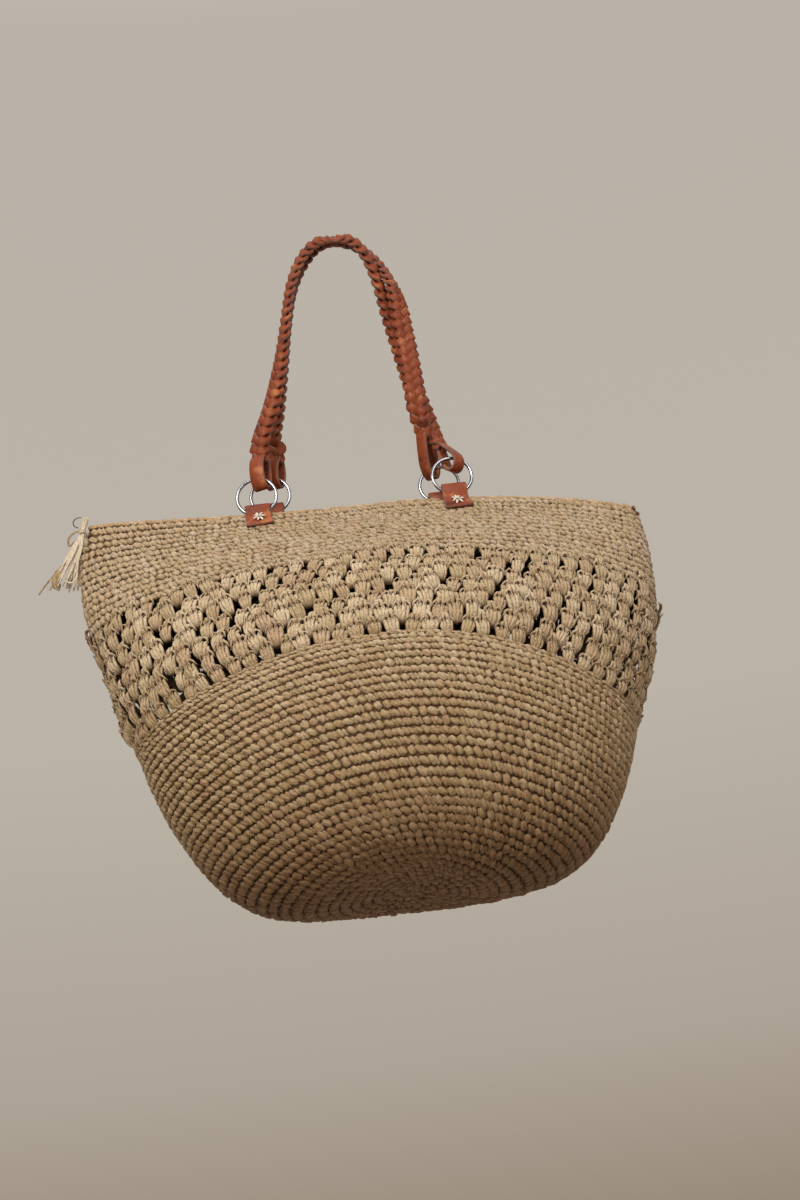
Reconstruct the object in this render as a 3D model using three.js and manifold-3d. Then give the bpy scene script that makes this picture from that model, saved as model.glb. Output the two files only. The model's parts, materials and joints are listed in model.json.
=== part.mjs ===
// A crocheted straw basket bag, hanging by its two braided leather handles.
//
// Millimetres, +Z up, +X to the right and -Y towards the front. The origin is the hang point: the
// underside of the handles' arch, midway between the two handles. The back of the bag hangs flat and
// upright and its front bulges forward over the round base.

import * as THREE from 'three';
import { mergeVertices } from 'three/addons/utils/BufferGeometryUtils.js';
import Module from 'manifold-3d';

// Driving dimensions of the bag's body
const MOUTH_WIDTH = 416; // corner to corner of the flattened rim
const BAG_HEIGHT = 324; // lowest point of the base to the rim
const BAG_DEPTH = 181; // flat back to the front's greatest bulge
const BACK_PLANE = 18; // how far the flat back hangs behind the hang point
const HANDLE_DROP = 242; // hang point to the rim
const STRAW_WALL = 4; // one layer of crocheted straw
const GAPS_ROUND = 30; // gaps in each row of the openwork band
const GAP_ROWS = 4; // rows of gaps, each half a step on from the last
const GAP_ROW_SHARE = 0.42; // how much of the openwork's height is gaps

// Driving dimensions of the leather and the metal
const BRAID_WIDTH = 19;
const BRAID_THICKNESS = 9;
const BRAID_STEP = 8.4; // from one chevron of the braid to the next
const BRAID_RELIEF = 1.1; // how far a chevron stands out
const RING_DIAMETER = 33; // outside
const RING_WIRE = 2.6;
const LEATHER = 2; // tabs
const TAB_WIDTH = 20;
const TAB_OUTSIDE = 15; // length of a tab below the rim, on the outside
const TAB_INSIDE = 12; // and on the inside
const TAB_FOLD = 3.4; // half the hollow of a tab's fold, where the ring lies
const LOOP_STRAP = 2.4; // thickness of the strap that holds a ring
const LOOP_STRAP_WIDTH = 12;
const LOOP_WIDTH = 15; // across the teardrop that the strap makes
const LOOP_LENGTH = 27;
const TASSEL_LENGTH = 70;
const TASSEL_HEAD = 2.3; // radius
const LOCK_WIDTH = 3;
const LOCK_THICKNESS = 0.9;
const CLEARANCE = 0.5; // between pieces that touch on the real bag

// Finishes
const STRAW = { color: 0xbf9a6c, roughness: 0.78, metalness: 0 };
const PALE_STRAW = { color: 0xd6c39c, roughness: 0.8, metalness: 0 };
const COGNAC = { color: 0x8e4528, roughness: 0.55, metalness: 0 };
const NICKEL = { color: 0xc4c6ca, roughness: 0.22, metalness: 1 };

// The bag's cross-sections. `round` counts 0 to 1 from the base's centre to the top of the closed
// bottom, 1 to 2 up the openwork and 2 to 3 up to the rim. left and right are shares of half the
// mouth's width, front and back are shares of the depth measured from the flat back, and the four
// heights are shares of the bag's height.
const SECTIONS = [
  { round: 0, left: 0, right: 0, front: 0.485, back: 0.485, frontUp: 0.036, leftUp: 0.036, rightUp: 0.036, backUp: 0.036 },
  { round: 0.06, left: 0.064, right: 0.066, front: 0.55, back: 0.41, frontUp: 0.037, leftUp: 0.027, rightUp: 0.026, backUp: 0.029 },
  { round: 0.14, left: 0.148, right: 0.151, front: 0.635, back: 0.31, frontUp: 0.041, leftUp: 0.017, rightUp: 0.014, backUp: 0.023 },
  { round: 0.25, left: 0.264, right: 0.251, front: 0.745, back: 0.18, frontUp: 0.05, leftUp: 0.008, rightUp: 0.005, backUp: 0.024 },
  { round: 0.37, left: 0.379, right: 0.365, front: 0.838, back: 0.075, frontUp: 0.074, leftUp: 0.009, rightUp: 0.012, backUp: 0.062 },
  { round: 0.5, left: 0.493, right: 0.474, front: 0.905, back: 0.012, frontUp: 0.113, leftUp: 0.027, rightUp: 0.028, backUp: 0.127 },
  { round: 0.63, left: 0.597, right: 0.575, front: 0.943, back: 0, frontUp: 0.172, leftUp: 0.074, rightUp: 0.066, backUp: 0.207 },
  { round: 0.76, left: 0.69, right: 0.67, front: 0.975, back: 0, frontUp: 0.268, leftUp: 0.152, rightUp: 0.145, backUp: 0.296 },
  { round: 0.88, left: 0.77, right: 0.745, front: 0.996, back: 0, frontUp: 0.372, leftUp: 0.25, rightUp: 0.245, backUp: 0.384 },
  { round: 1, left: 0.835, right: 0.808, front: 0.992, back: 0, frontUp: 0.478, leftUp: 0.37, rightUp: 0.365, backUp: 0.478 },
  { round: 1.5, left: 0.918, right: 0.898, front: 0.83, back: 0, frontUp: 0.627, leftUp: 0.537, rightUp: 0.508, backUp: 0.632 },
  { round: 2, left: 0.995, right: 0.952, front: 0.612, back: 0, frontUp: 0.757, leftUp: 0.7, rightUp: 0.646, backUp: 0.78 },
  { round: 2.5, left: 1.04, right: 0.982, front: 0.37, back: 0, frontUp: 0.88, leftUp: 0.86, rightUp: 0.79, backUp: 0.905 },
  { round: 2.8, left: 1.036, right: 0.987, front: 0.22, back: 0.008, frontUp: 0.95, leftUp: 0.965, rightUp: 0.87, backUp: 0.978 },
  { round: 3, left: 1.02, right: 0.985, front: 0.156, back: 0.02, frontUp: 0.996, leftUp: 1.03, rightUp: 0.92, backUp: 1.02 },
];
const SQUARENESS = 2.2; // of a section's plan: 2 is an ellipse, more is boxier

// Where the rings hang. x is a share of half the mouth's width, side is -1 for the front wall and 1
// for the back wall, lift is how far the ring is pulled up clear of the rim, in millimetres, and the
// turns are about the vertical, in degrees. The strap loop sits at `along` the ring's top, hangs
// `slack` below its wire and is `length` long, both as shares of LOOP_LENGTH, and it leans to the
// right and to the back by shares of its length.
const RINGS = [
  { name: 'front_left', x: -0.391, side: -1, lift: 0, ringTurn: -5, loopTurn: -25, along: 0.3, slack: 0.2, length: 1, right: 0.1, back: 0.02 },
  { name: 'front_right', x: 0.33, side: -1, lift: 4, ringTurn: 5, loopTurn: 26, along: 0.16, slack: 0.28, length: 1.15, right: -0.1, back: 0.44 },
  { name: 'back_left', x: -0.345, side: 1, lift: 3, ringTurn: -5, loopTurn: -24, along: 0.3, slack: 0.2, length: 1, right: 0.1, back: -0.02 },
  { name: 'back_right', x: 0.286, side: 1, lift: 0, ringTurn: -5, loopTurn: -20, along: -0.3, slack: 0.18, length: 1.45, right: -0.13, back: -0.48 },
];

// The run of each handle between its two loops. up is a share of the handle's drop, from -1 at the
// rim to 0 at the arch; across is a share of half the distance between the rings; depth is a share of
// the room one braid takes beside the other; face is the turn of the braid's broad face, in degrees,
// from 0 facing forward to 90 facing out of the arch. The two cross on the right-hand leg.
const FRONT_RUN = [
  { up: -0.735, across: -0.985, depth: -0.9, face: 42 },
  { up: -0.64, across: -0.86, depth: -1, face: 42 },
  { up: -0.46, across: -0.7, depth: -1, face: 62 },
  { up: -0.3, across: -0.595, depth: -1, face: 86 },
  { up: -0.17, across: -0.5, depth: -1, face: 90 },
  { up: -0.07, across: -0.36, depth: -1, face: 90 },
  { up: -0.008, across: -0.18, depth: -1, face: 90 },
  { up: 0, across: 0, depth: -1, face: 90 },
  { up: -0.012, across: 0.19, depth: -1, face: 90 },
  { up: -0.075, across: 0.34, depth: -0.75, face: 90 },
  { up: -0.18, across: 0.44, depth: -0.05, face: 82 },
  { up: -0.29, across: 0.52, depth: 0.5, face: 45 },
  { up: -0.42, across: 0.61, depth: 0.8, face: 20 },
  { up: -0.58, across: 0.71, depth: 0.88, face: 18 },
  { up: -0.7, across: 0.84, depth: 0.86, face: 22 },
];
const BACK_RUN = [
  { up: -0.72, across: -0.85, depth: 1.08, face: 62 },
  { up: -0.62, across: -0.77, depth: 1.04, face: 70 },
  { up: -0.46, across: -0.665, depth: 1, face: 80 },
  { up: -0.3, across: -0.585, depth: 1, face: 90 },
  { up: -0.17, across: -0.5, depth: 1, face: 90 },
  { up: -0.07, across: -0.36, depth: 1, face: 90 },
  { up: -0.008, across: -0.18, depth: 1, face: 90 },
  { up: 0, across: 0, depth: 1, face: 90 },
  { up: -0.006, across: 0.2, depth: 1, face: 90 },
  { up: -0.05, across: 0.42, depth: 0.85, face: 88 },
  { up: -0.18, across: 0.6, depth: 0, face: 76 },
  { up: -0.29, across: 0.635, depth: -0.7, face: 35 },
  { up: -0.42, across: 0.64, depth: -0.85, face: 6 },
  { up: -0.58, across: 0.655, depth: -0.88, face: 0 },
  { up: -0.68, across: 0.66, depth: -0.78, face: -8 },
];

// The tassel's locks: where each tip lies from the head, as shares of the tassel's length
const LOCKS = [
  { left: 0.5, forward: 0.12, down: 0.78 },
  { left: 0.38, forward: 0.02, down: 0.86 },
  { left: 0.27, forward: -0.08, down: 0.9 },
  { left: 0.18, forward: 0.14, down: 0.86 },
  { left: 0.13, forward: -0.02, down: 0.84 },
];

// Mesh fineness
const COLUMNS = 2 * GAPS_ROUND;
const UPPER_ROWS = 5;
const LOOP_SAMPLES = 720;
const SLOPE_STEP = 0.01;

const wasm = await Module();
wasm.setup();

const radians = (degrees) => THREE.MathUtils.degToRad(degrees);

// Smooth value of one column of a table whose rows are keyed by `key`
function column(rows, key, name, at) {
  const last = rows.length - 2;
  const i = Math.min(last, Math.max(0, rows.findIndex((row, n) => n > last || rows[n + 1][key] >= at)));
  const slope = (n) => {
    const a = rows[Math.max(0, n - 1)];
    const b = rows[Math.min(rows.length - 1, n + 1)];
    return (b[name] - a[name]) / (b[key] - a[key]);
  };
  const span = rows[i + 1][key] - rows[i][key];
  const t = (at - rows[i][key]) / span;
  const [a, b] = [rows[i][name], rows[i + 1][name]];
  const [da, db] = [slope(i) * span, slope(i + 1) * span];
  return a + t * (da + t * (3 * (b - a) - 2 * da - db + t * (2 * (a - b) + da + db)));
}

// Four reaches and four heights of the bag's outer skin, in millimetres
function outerSection(round) {
  const share = (name) => column(SECTIONS, 'round', name, round);
  const height = (name) => share(name) * BAG_HEIGHT - BAG_HEIGHT - HANDLE_DROP;
  return {
    left: (share('left') * MOUTH_WIDTH) / 2,
    right: (share('right') * MOUTH_WIDTH) / 2,
    front: share('front') * BAG_DEPTH - BACK_PLANE,
    back: BACK_PLANE - share('back') * BAG_DEPTH,
    frontUp: height('frontUp'),
    leftUp: height('leftUp'),
    rightUp: height('rightUp'),
    backUp: height('backUp'),
  };
}

// The same section, moved squarely off the skin by `inset`: positive is into the bag
function section(round, inset) {
  const here = outerSection(round);
  const low = outerSection(Math.max(0.001, round - SLOPE_STEP));
  const high = outerSection(Math.min(3, round + SLOPE_STEP));
  for (const side of ['left', 'right', 'front', 'back']) {
    const out = high[side] - low[side];
    const up = high[`${side}Up`] - low[`${side}Up`];
    const length = Math.hypot(out, up);
    here[side] -= (inset * up) / length;
    here[`${side}Up`] += (inset * out) / length;
  }
  return here;
}

// A point on a section. angle 0 is the right-hand end, a quarter turn is the middle of the back
function sectionPoint(s, angle) {
  const bend = (v) => Math.sign(v) * Math.abs(v) ** (2 / SQUARENESS);
  const across = bend(Math.cos(angle));
  const away = bend(Math.sin(angle));
  const x = across * (across > 0 ? s.right : s.left);
  const y = (s.back - s.front) / 2 + ((s.back + s.front) / 2) * away;
  const middle = s.frontUp + ((s.backUp - s.frontUp) * (away + 1)) / 2;
  const end = across > 0 ? s.rightUp : s.leftUp;
  return new THREE.Vector3(x, y, middle + (end - middle) * across * across);
}

// Angles that divide each half of a section, back and front, into equal lengths
function evenAngles(s, count) {
  const angles = [];
  for (const start of [0, Math.PI]) {
    const lengths = [0];
    let last = sectionPoint(s, start);
    for (let i = 1; i <= LOOP_SAMPLES / 2; i += 1) {
      const next = sectionPoint(s, start + (Math.PI * 2 * i) / LOOP_SAMPLES);
      lengths.push(lengths[i - 1] + next.distanceTo(last));
      last = next;
    }
    const whole = lengths[lengths.length - 1];
    let i = 0;
    for (let k = 0; k < count / 2; k += 1) {
      const want = (whole * k) / (count / 2);
      while (lengths[i + 1] < want) i += 1;
      const part = (want - lengths[i]) / (lengths[i + 1] - lengths[i]);
      angles.push(start + (Math.PI * 2 * (i + part)) / LOOP_SAMPLES);
    }
  }
  return angles;
}

// Heights of the mesh's rows, and which of them have gaps cut through
function bodyRows() {
  const rows = SECTIONS.filter((s) => s.round > 0 && s.round <= 1).map((s) => ({ round: s.round, gaps: false }));
  const gapHeight = GAP_ROW_SHARE / GAP_ROWS;
  const solidHeight = (1 - GAP_ROW_SHARE) / (GAP_ROWS + 1);
  let round = 1;
  for (let k = 0; k < 2 * GAP_ROWS + 1; k += 1) {
    rows[rows.length - 1].gaps = k % 2 === 1;
    rows[rows.length - 1].shift = (k >> 1) % 2;
    round += k % 2 === 1 ? gapHeight : solidHeight;
    rows.push({ round, gaps: false });
  }
  for (let k = 1; k <= UPPER_ROWS; k += 1) rows.push({ round: 2 + k / UPPER_ROWS, gaps: false });
  return rows;
}

const ROUNDS = bodyRows().map((row) => row.round);

// The bag's body: one hollow wall from the base's centre to the rim, pierced in staggered rows
function basketBody() {
  const rows = bodyRows();
  const points = [];
  const faces = [];
  const quad = (a, b, c, d) => faces.push(a, b, c, a, c, d);
  const skin = (inset) => {
    const start = points.length;
    for (const row of rows) {
      const angles = evenAngles(outerSection(row.round), COLUMNS);
      const s = section(row.round, inset);
      for (const angle of angles) points.push(sectionPoint(s, angle));
    }
    const centre = sectionPoint(outerSection(0), 0);
    points.push(centre.setZ(centre.z + inset));
    return start;
  };
  const outside = skin(0);
  const inside = skin(STRAW_WALL);
  const at = (start, row, k) => start + row * COLUMNS + (k % COLUMNS);
  const tip = (start) => start + rows.length * COLUMNS;
  for (let k = 0; k < COLUMNS; k += 1) {
    faces.push(tip(outside), at(outside, 0, k + 1), at(outside, 0, k));
    faces.push(tip(inside), at(inside, 0, k), at(inside, 0, k + 1));
    for (let r = 0; r < rows.length - 1; r += 1) {
      const o = [at(outside, r, k), at(outside, r, k + 1), at(outside, r + 1, k + 1), at(outside, r + 1, k)];
      const i = [at(inside, r, k), at(inside, r, k + 1), at(inside, r + 1, k + 1), at(inside, r + 1, k)];
      if (rows[r].gaps && k % 2 === rows[r].shift) {
        for (let e = 0; e < 4; e += 1) quad(o[e], o[(e + 1) % 4], i[(e + 1) % 4], i[e]);
      } else {
        quad(...o);
        quad(...i.reverse());
      }
    }
    const top = rows.length - 1;
    quad(at(outside, top, k), at(outside, top, k + 1), at(inside, top, k + 1), at(inside, top, k));
  }
  return solid(points, faces);
}

// A closed mesh from points and faces
function solid(points, faces) {
  const geometry = new THREE.BufferGeometry();
  geometry.setAttribute('position', new THREE.Float32BufferAttribute(points.flatMap((p) => [p.x, p.y, p.z]), 3));
  geometry.setIndex(faces);
  geometry.computeVertexNormals();
  return geometry;
}

// A closed bar through rings of points that all run the same way round
function skinRings(rings) {
  const sides = rings[0].length;
  const faces = [];
  for (let r = 0; r < rings.length - 1; r += 1) {
    for (let k = 0; k < sides; k += 1) {
      const [a, b] = [r * sides + k, r * sides + ((k + 1) % sides)];
      faces.push(a, b, b + sides, a, b + sides, a + sides);
    }
  }
  const end = (rings.length - 1) * sides;
  for (let k = 1; k < sides - 1; k += 1) {
    faces.push(0, k + 1, k);
    faces.push(end, end + k, end + k + 1);
  }
  return solid(rings.flat(), faces);
}

// A point on the wall's faceted mesh at x, on the front (side -1) or the back (side 1)
function wallPoint(round, inset, x, side) {
  const high = ROUNDS.findIndex((r) => r >= round - 1e-6);
  const on = (r) => {
    const s = section(r, inset);
    const across = Math.abs(x / (x > 0 ? s.right : s.left)) ** (SQUARENESS / 2);
    return sectionPoint(s, side * Math.acos(Math.sign(x) * across));
  };
  const part = (round - ROUNDS[high - 1]) / (ROUNDS[high] - ROUNDS[high - 1]);
  return on(ROUNDS[high - 1]).lerp(on(ROUNDS[high]), part);
}

// How far down the rounds a strip reaches when it hangs `length` below the rim
function stepDown(x, side, length) {
  let step = 0;
  let last = wallPoint(3, 0, x, side);
  for (let gone = 0; gone < length; step += SLOPE_STEP) {
    const next = wallPoint(3 - step - SLOPE_STEP, 0, x, side);
    gone += next.distanceTo(last);
    last = next;
  }
  return step;
}

// Where a ring and its tab sit on the rim
function seat(ring) {
  const x = (ring.x * MOUTH_WIDTH) / 2;
  const rim = wallPoint(3, STRAW_WALL / 2, x, ring.side);
  const ends = [-1, 1].map((edge) => wallPoint(3, 0, x + (edge * TAB_WIDTH) / 2, ring.side));
  const ringRadius = (RING_DIAMETER - RING_WIRE) / 2;
  const sag = ringRadius - Math.sqrt(ringRadius ** 2 - (TAB_WIDTH / 2) ** 2);
  const wireLow = rim.z + CLEARANCE + RING_WIRE / 2 + ring.lift;
  return {
    rim,
    along: ends[1].sub(ends[0]).setZ(0).normalize(),
    foldTop: wireLow + sag + RING_WIRE / 2 + CLEARANCE + TAB_FOLD * 0.25 + LEATHER,
    ringRadius,
    ringCentre: new THREE.Vector3(rim.x, rim.y, wireLow + ringRadius),
  };
}

// A leather tab: a strip that runs up the outside of the wall, over the ring's wire and down inside
function tab(ring) {
  const { rim, along, foldTop } = seat(ring);
  const out = new THREE.Vector3(along.y, -along.x, 0).multiplyScalar(-ring.side);
  const away = CLEARANCE + LEATHER / 2;
  const outside = stepDown(rim.x, ring.side, TAB_OUTSIDE);
  const inside = stepDown(rim.x, ring.side, TAB_INSIDE);
  const bend = TAB_FOLD + LEATHER / 2;
  const crown = foldTop - TAB_FOLD - LEATHER;
  const edges = [-1, 1].map((edge) => {
    const on = (round, inset) => wallPoint(round, inset, rim.x + (edge * TAB_WIDTH) / 2, ring.side);
    const foot = rim.clone().addScaledVector(along, (edge * TAB_WIDTH) / 2);
    const path = [on(3 - outside, -away), on(3 - outside / 2, -away), on(3, -away)];
    for (let k = 0; k <= 6; k += 1) {
      const turn = (Math.PI * k) / 6;
      path.push(foot.clone().addScaledVector(out, bend * Math.cos(turn)).setZ(crown + bend * Math.sin(turn)));
    }
    path.push(on(3, STRAW_WALL + away), on(3 - inside, STRAW_WALL + away));
    return path;
  });
  const rings = edges[0].map((_, n) => {
    const corner = (edge, side) => {
      const path = edges[edge];
      const ahead = path[Math.min(path.length - 1, n + 1)].clone().sub(path[Math.max(0, n - 1)]);
      const run = new THREE.Vector2(ahead.dot(out), ahead.z).normalize();
      const point = path[n].clone().addScaledVector(out, (-run.y * side * LEATHER) / 2);
      return point.setZ(point.z + (run.x * side * LEATHER) / 2);
    };
    const skin = [corner(0, -1), corner(1, -1), corner(1, 1), corner(0, 1)];
    return ring.side < 0 ? skin : skin.reverse();
  });
  return skinRings(rings);
}

// The strap that holds a ring, folded into a teardrop. Its lowest point is at the origin
function strapLoop(length) {
  const teardrop = (radius, top, topHalf) => {
    const centre = LOOP_WIDTH / 2;
    const reach = top - centre;
    const tangent = Math.asin(Math.min(0.95, (radius - topHalf) / reach));
    const shape = new THREE.Shape();
    shape.moveTo(topHalf, top);
    shape.lineTo(-topHalf, top);
    shape.absarc(0, centre, radius, Math.PI - tangent, 2 * Math.PI + tangent, false);
    shape.closePath();
    return shape;
  };
  const shape = teardrop(LOOP_WIDTH / 2, length, LOOP_STRAP + CLEARANCE / 2);
  shape.holes.push(teardrop(LOOP_WIDTH / 2 - LOOP_STRAP, length * 0.8, CLEARANCE / 2));
  const geometry = new THREE.ExtrudeGeometry(shape, { depth: LOOP_STRAP_WIDTH, bevelEnabled: false, curveSegments: 7 });
  geometry.translate(0, 0, -LOOP_STRAP_WIDTH / 2);
  geometry.rotateX(Math.PI / 2);
  geometry.rotateZ(Math.PI / 2);
  return geometry;
}

// A ring's strap loop: its lowest point, the way it leans, its length and where its braid begins
function loopPose(ring) {
  const { ringCentre, ringRadius } = seat(ring);
  const offset = ring.along * ringRadius;
  const turn = radians(ring.ringTurn);
  const up = Math.sqrt(ringRadius ** 2 - offset ** 2) - RING_WIRE / 2 - ring.slack * LOOP_LENGTH - LOOP_STRAP;
  const lean = new THREE.Vector3(ring.right, ring.back, 1).normalize();
  const wire = ringCentre.clone().add(new THREE.Vector3(offset * Math.cos(turn), offset * Math.sin(turn), up));
  const sag = ring.slack * LOOP_LENGTH;
  const foot = wire.sub(new THREE.Vector3(ring.right * sag, ring.back * sag, 0));
  const length = ring.length * LOOP_LENGTH;
  return { foot, lean, length, top: foot.clone().addScaledVector(lean, length + 2 * CLEARANCE) };
}

// A braided handle: a flat bar whose edges and ridge stand out in turn, as a braid's chevrons do
function braid(run, left, right) {
  const spread = (RINGS[1].x - RINGS[0].x) * MOUTH_WIDTH / 4;
  const beside = BRAID_WIDTH / 2 + CLEARANCE;
  const route = run.map((row) => ({
    face: row.face,
    at: new THREE.Vector3(row.across * spread, row.depth * beside, row.up * HANDLE_DROP + BRAID_THICKNESS / 2),
  }));
  for (const [ring, add] of [[left, 'unshift'], [right, 'push']]) {
    const { lean, top } = loopPose(ring);
    const face = ring === left ? -ring.loopTurn : ring.loopTurn;
    route[add]({ face, at: top.clone().addScaledVector(lean, BRAID_STEP) });
    route[add]({ face, at: top });
  }
  const curve = new THREE.CatmullRomCurve3(route.map((r) => r.at), false, 'centripetal');
  const steps = 2 * Math.round(curve.getLength() / BRAID_STEP);
  const keyed = route.map((r, n) => ({ key: n / (route.length - 1), face: r.face }));
  const rings = [];
  for (let k = 0; k <= steps; k += 1) {
    const t = curve.getUtoTmapping(k / steps);
    const centre = curve.getPoint(t);
    const ahead = curve.getTangent(t).normalize();
    const turn = radians(column(keyed, 'key', 'face', t));
    const outward = new THREE.Vector3(0, -1, 0).cross(ahead).normalize();
    const forward = ahead.clone().cross(outward).normalize();
    const normal = forward.multiplyScalar(Math.cos(turn)).addScaledVector(outward, Math.sin(turn));
    const across = normal.clone().cross(ahead);
    const out = k % 2 === 0;
    const edge = BRAID_WIDTH / 2 - (out ? 0 : BRAID_RELIEF);
    const ridge = BRAID_THICKNESS / 2 - (out ? BRAID_RELIEF : 0);
    const shoulder = BRAID_THICKNESS / 2 - BRAID_RELIEF / 2;
    const outline = [[edge, 0], [edge * 0.6, shoulder], [0, ridge], [-edge * 0.6, shoulder]];
    const ring = outline.concat(outline.map(([u, v]) => [-u, -v]));
    rings.push(ring.map(([u, v]) => centre.clone().addScaledVector(across, u).addScaledVector(normal, v)));
  }
  return skinRings(rings);
}

// A closed geometry as a solid that can be joined
function toManifold(geometry) {
  const bare = geometry.clone();
  bare.deleteAttribute('normal');
  bare.deleteAttribute('uv');
  const merged = mergeVertices(bare, 1e-4);
  const corners = Array.from(merged.index.array);
  const mesh = new wasm.Mesh({
    numProp: 3,
    vertProperties: new Float32Array(merged.attributes.position.array),
    triVerts: new Uint32Array(
      corners.filter((_, n) => {
        const [a, b, c] = corners.slice(n - (n % 3), n - (n % 3) + 3);
        return a !== b && b !== c && c !== a;
      }),
    ),
  });
  return new wasm.Manifold(mesh);
}

// The solid back as a geometry
function fromManifold(manifold) {
  const mesh = manifold.getMesh();
  const geometry = new THREE.BufferGeometry();
  geometry.setAttribute('position', new THREE.Float32BufferAttribute(mesh.vertProperties, 3));
  geometry.setIndex(Array.from(mesh.triVerts));
  geometry.computeVertexNormals();
  return geometry;
}

// One lock of the tassel: a flat strip that leaves the head downwards and fans out to its tip
function lock(tip) {
  const neck = new THREE.Vector3(0, 0, -TASSEL_LENGTH * 0.14);
  const end = new THREE.Vector3(-tip.left, -tip.forward, -tip.down).multiplyScalar(TASSEL_LENGTH);
  const bow = new THREE.Vector3(-tip.left * 0.3, -tip.forward * 0.3, -0.45).multiplyScalar(TASSEL_LENGTH);
  const curve = new THREE.QuadraticBezierCurve3(neck, bow, end);
  const rings = [];
  for (let k = 0; k <= 5; k += 1) {
    const centre = curve.getPoint(k / 5);
    const ahead = curve.getTangent(k / 5);
    const across = new THREE.Vector3(0, 1, 0).cross(ahead).normalize();
    const through = ahead.clone().cross(across);
    const half = (LOCK_WIDTH / 2) * (0.55 + 0.09 * k);
    const corners = [[-half, -LOCK_THICKNESS / 2], [half, -LOCK_THICKNESS / 2], [half, LOCK_THICKNESS / 2], [-half, LOCK_THICKNESS / 2]];
    rings.push(corners.map(([u, v]) => centre.clone().addScaledVector(across, u).addScaledVector(through, v)));
  }
  return skinRings(rings);
}

// The tassel: a bound head with its locks grown out of it, hung at the rim's left-hand corner
function tassel() {
  const head = new THREE.LatheGeometry(
    [[0, 0.17], [0.75, 0.14], [0.7, 0.02], [1, -0.03], [0.9, -0.12], [1.15, -0.18], [0.5, -0.22], [0, -0.22]].map(
      ([r, up]) => new THREE.Vector2(r * TASSEL_HEAD, up * TASSEL_LENGTH),
    ).reverse(),
    10,
  );
  head.rotateX(Math.PI / 2);
  let whole = toManifold(head);
  for (const tip of LOCKS) whole = whole.add(toManifold(lock(tip)));
  return fromManifold(whole);
}

const bag = new THREE.Group();

function add(name, geometry, finish) {
  const mesh = new THREE.Mesh(geometry, new THREE.MeshStandardMaterial(finish));
  mesh.name = name;
  bag.add(mesh);
  return mesh;
}

add('basket_body', basketBody(), STRAW);
add('front_handle_braid', braid(FRONT_RUN, RINGS[0], RINGS[1]), COGNAC);
add('back_handle_braid', braid(BACK_RUN, RINGS[2], RINGS[3]), COGNAC);

for (const ring of RINGS) {
  const { ringCentre, ringRadius } = seat(ring);
  add(`${ring.name}_tab`, tab(ring), COGNAC);

  const hoop = add(`${ring.name}_ring`, new THREE.TorusGeometry(ringRadius, RING_WIRE / 2, 6, 18), NICKEL);
  hoop.rotation.order = 'ZXY';
  hoop.rotation.set(Math.PI / 2, 0, radians(ring.ringTurn));
  hoop.position.copy(ringCentre);

  const { foot, lean, length } = loopPose(ring);
  const loop = add(`${ring.name}_strap_loop`, strapLoop(length), COGNAC);
  loop.quaternion.setFromUnitVectors(new THREE.Vector3(0, 0, 1), lean);
  loop.rotateZ(radians(ring.loopTurn));
  loop.position.copy(foot);
}

const corner = sectionPoint(outerSection(3), Math.PI);
const hung = add('tassel', tassel(), PALE_STRAW);
hung.position.set(corner.x - TASSEL_HEAD * 1.2 - CLEARANCE, corner.y, corner.z);

export default bag;
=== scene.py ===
"""A crocheted straw basket bag, hanging by its two braided leather handles.

Metres, +Z up, +X to the right and -Y out of the bag's front. The origin is the hang point, the
underside of the handles' arch.
"""

import sys
import json
import logging
import math
from dataclasses import dataclass, field
from enum import Enum

import bpy
import mathutils
import numpy as np
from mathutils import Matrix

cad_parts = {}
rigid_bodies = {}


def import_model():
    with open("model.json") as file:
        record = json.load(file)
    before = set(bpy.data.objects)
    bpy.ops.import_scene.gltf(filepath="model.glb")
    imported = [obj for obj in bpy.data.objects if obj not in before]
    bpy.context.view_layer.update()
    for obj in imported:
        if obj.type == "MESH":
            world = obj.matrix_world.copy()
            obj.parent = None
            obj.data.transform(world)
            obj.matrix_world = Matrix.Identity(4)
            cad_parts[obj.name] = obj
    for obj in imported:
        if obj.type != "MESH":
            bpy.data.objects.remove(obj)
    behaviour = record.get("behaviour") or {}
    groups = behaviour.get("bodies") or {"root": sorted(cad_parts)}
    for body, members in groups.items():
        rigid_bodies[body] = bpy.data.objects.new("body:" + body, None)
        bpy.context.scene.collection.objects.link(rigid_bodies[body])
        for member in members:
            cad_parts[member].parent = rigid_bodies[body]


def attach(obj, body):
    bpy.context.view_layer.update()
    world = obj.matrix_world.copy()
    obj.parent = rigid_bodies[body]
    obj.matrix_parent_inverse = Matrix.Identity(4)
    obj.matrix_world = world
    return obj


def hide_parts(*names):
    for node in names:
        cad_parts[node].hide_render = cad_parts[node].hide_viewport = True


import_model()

LOG = logging.getLogger("basket_bag")
MM = 0.001
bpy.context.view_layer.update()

Array = np.ndarray


# Small helpers


def unit(v: Array) -> Array:
    """The vectors in v, each scaled to length one."""
    v = np.asarray(v, dtype=float)
    return v / np.maximum(np.linalg.norm(v, axis=-1, keepdims=True), 1e-12)


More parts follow.
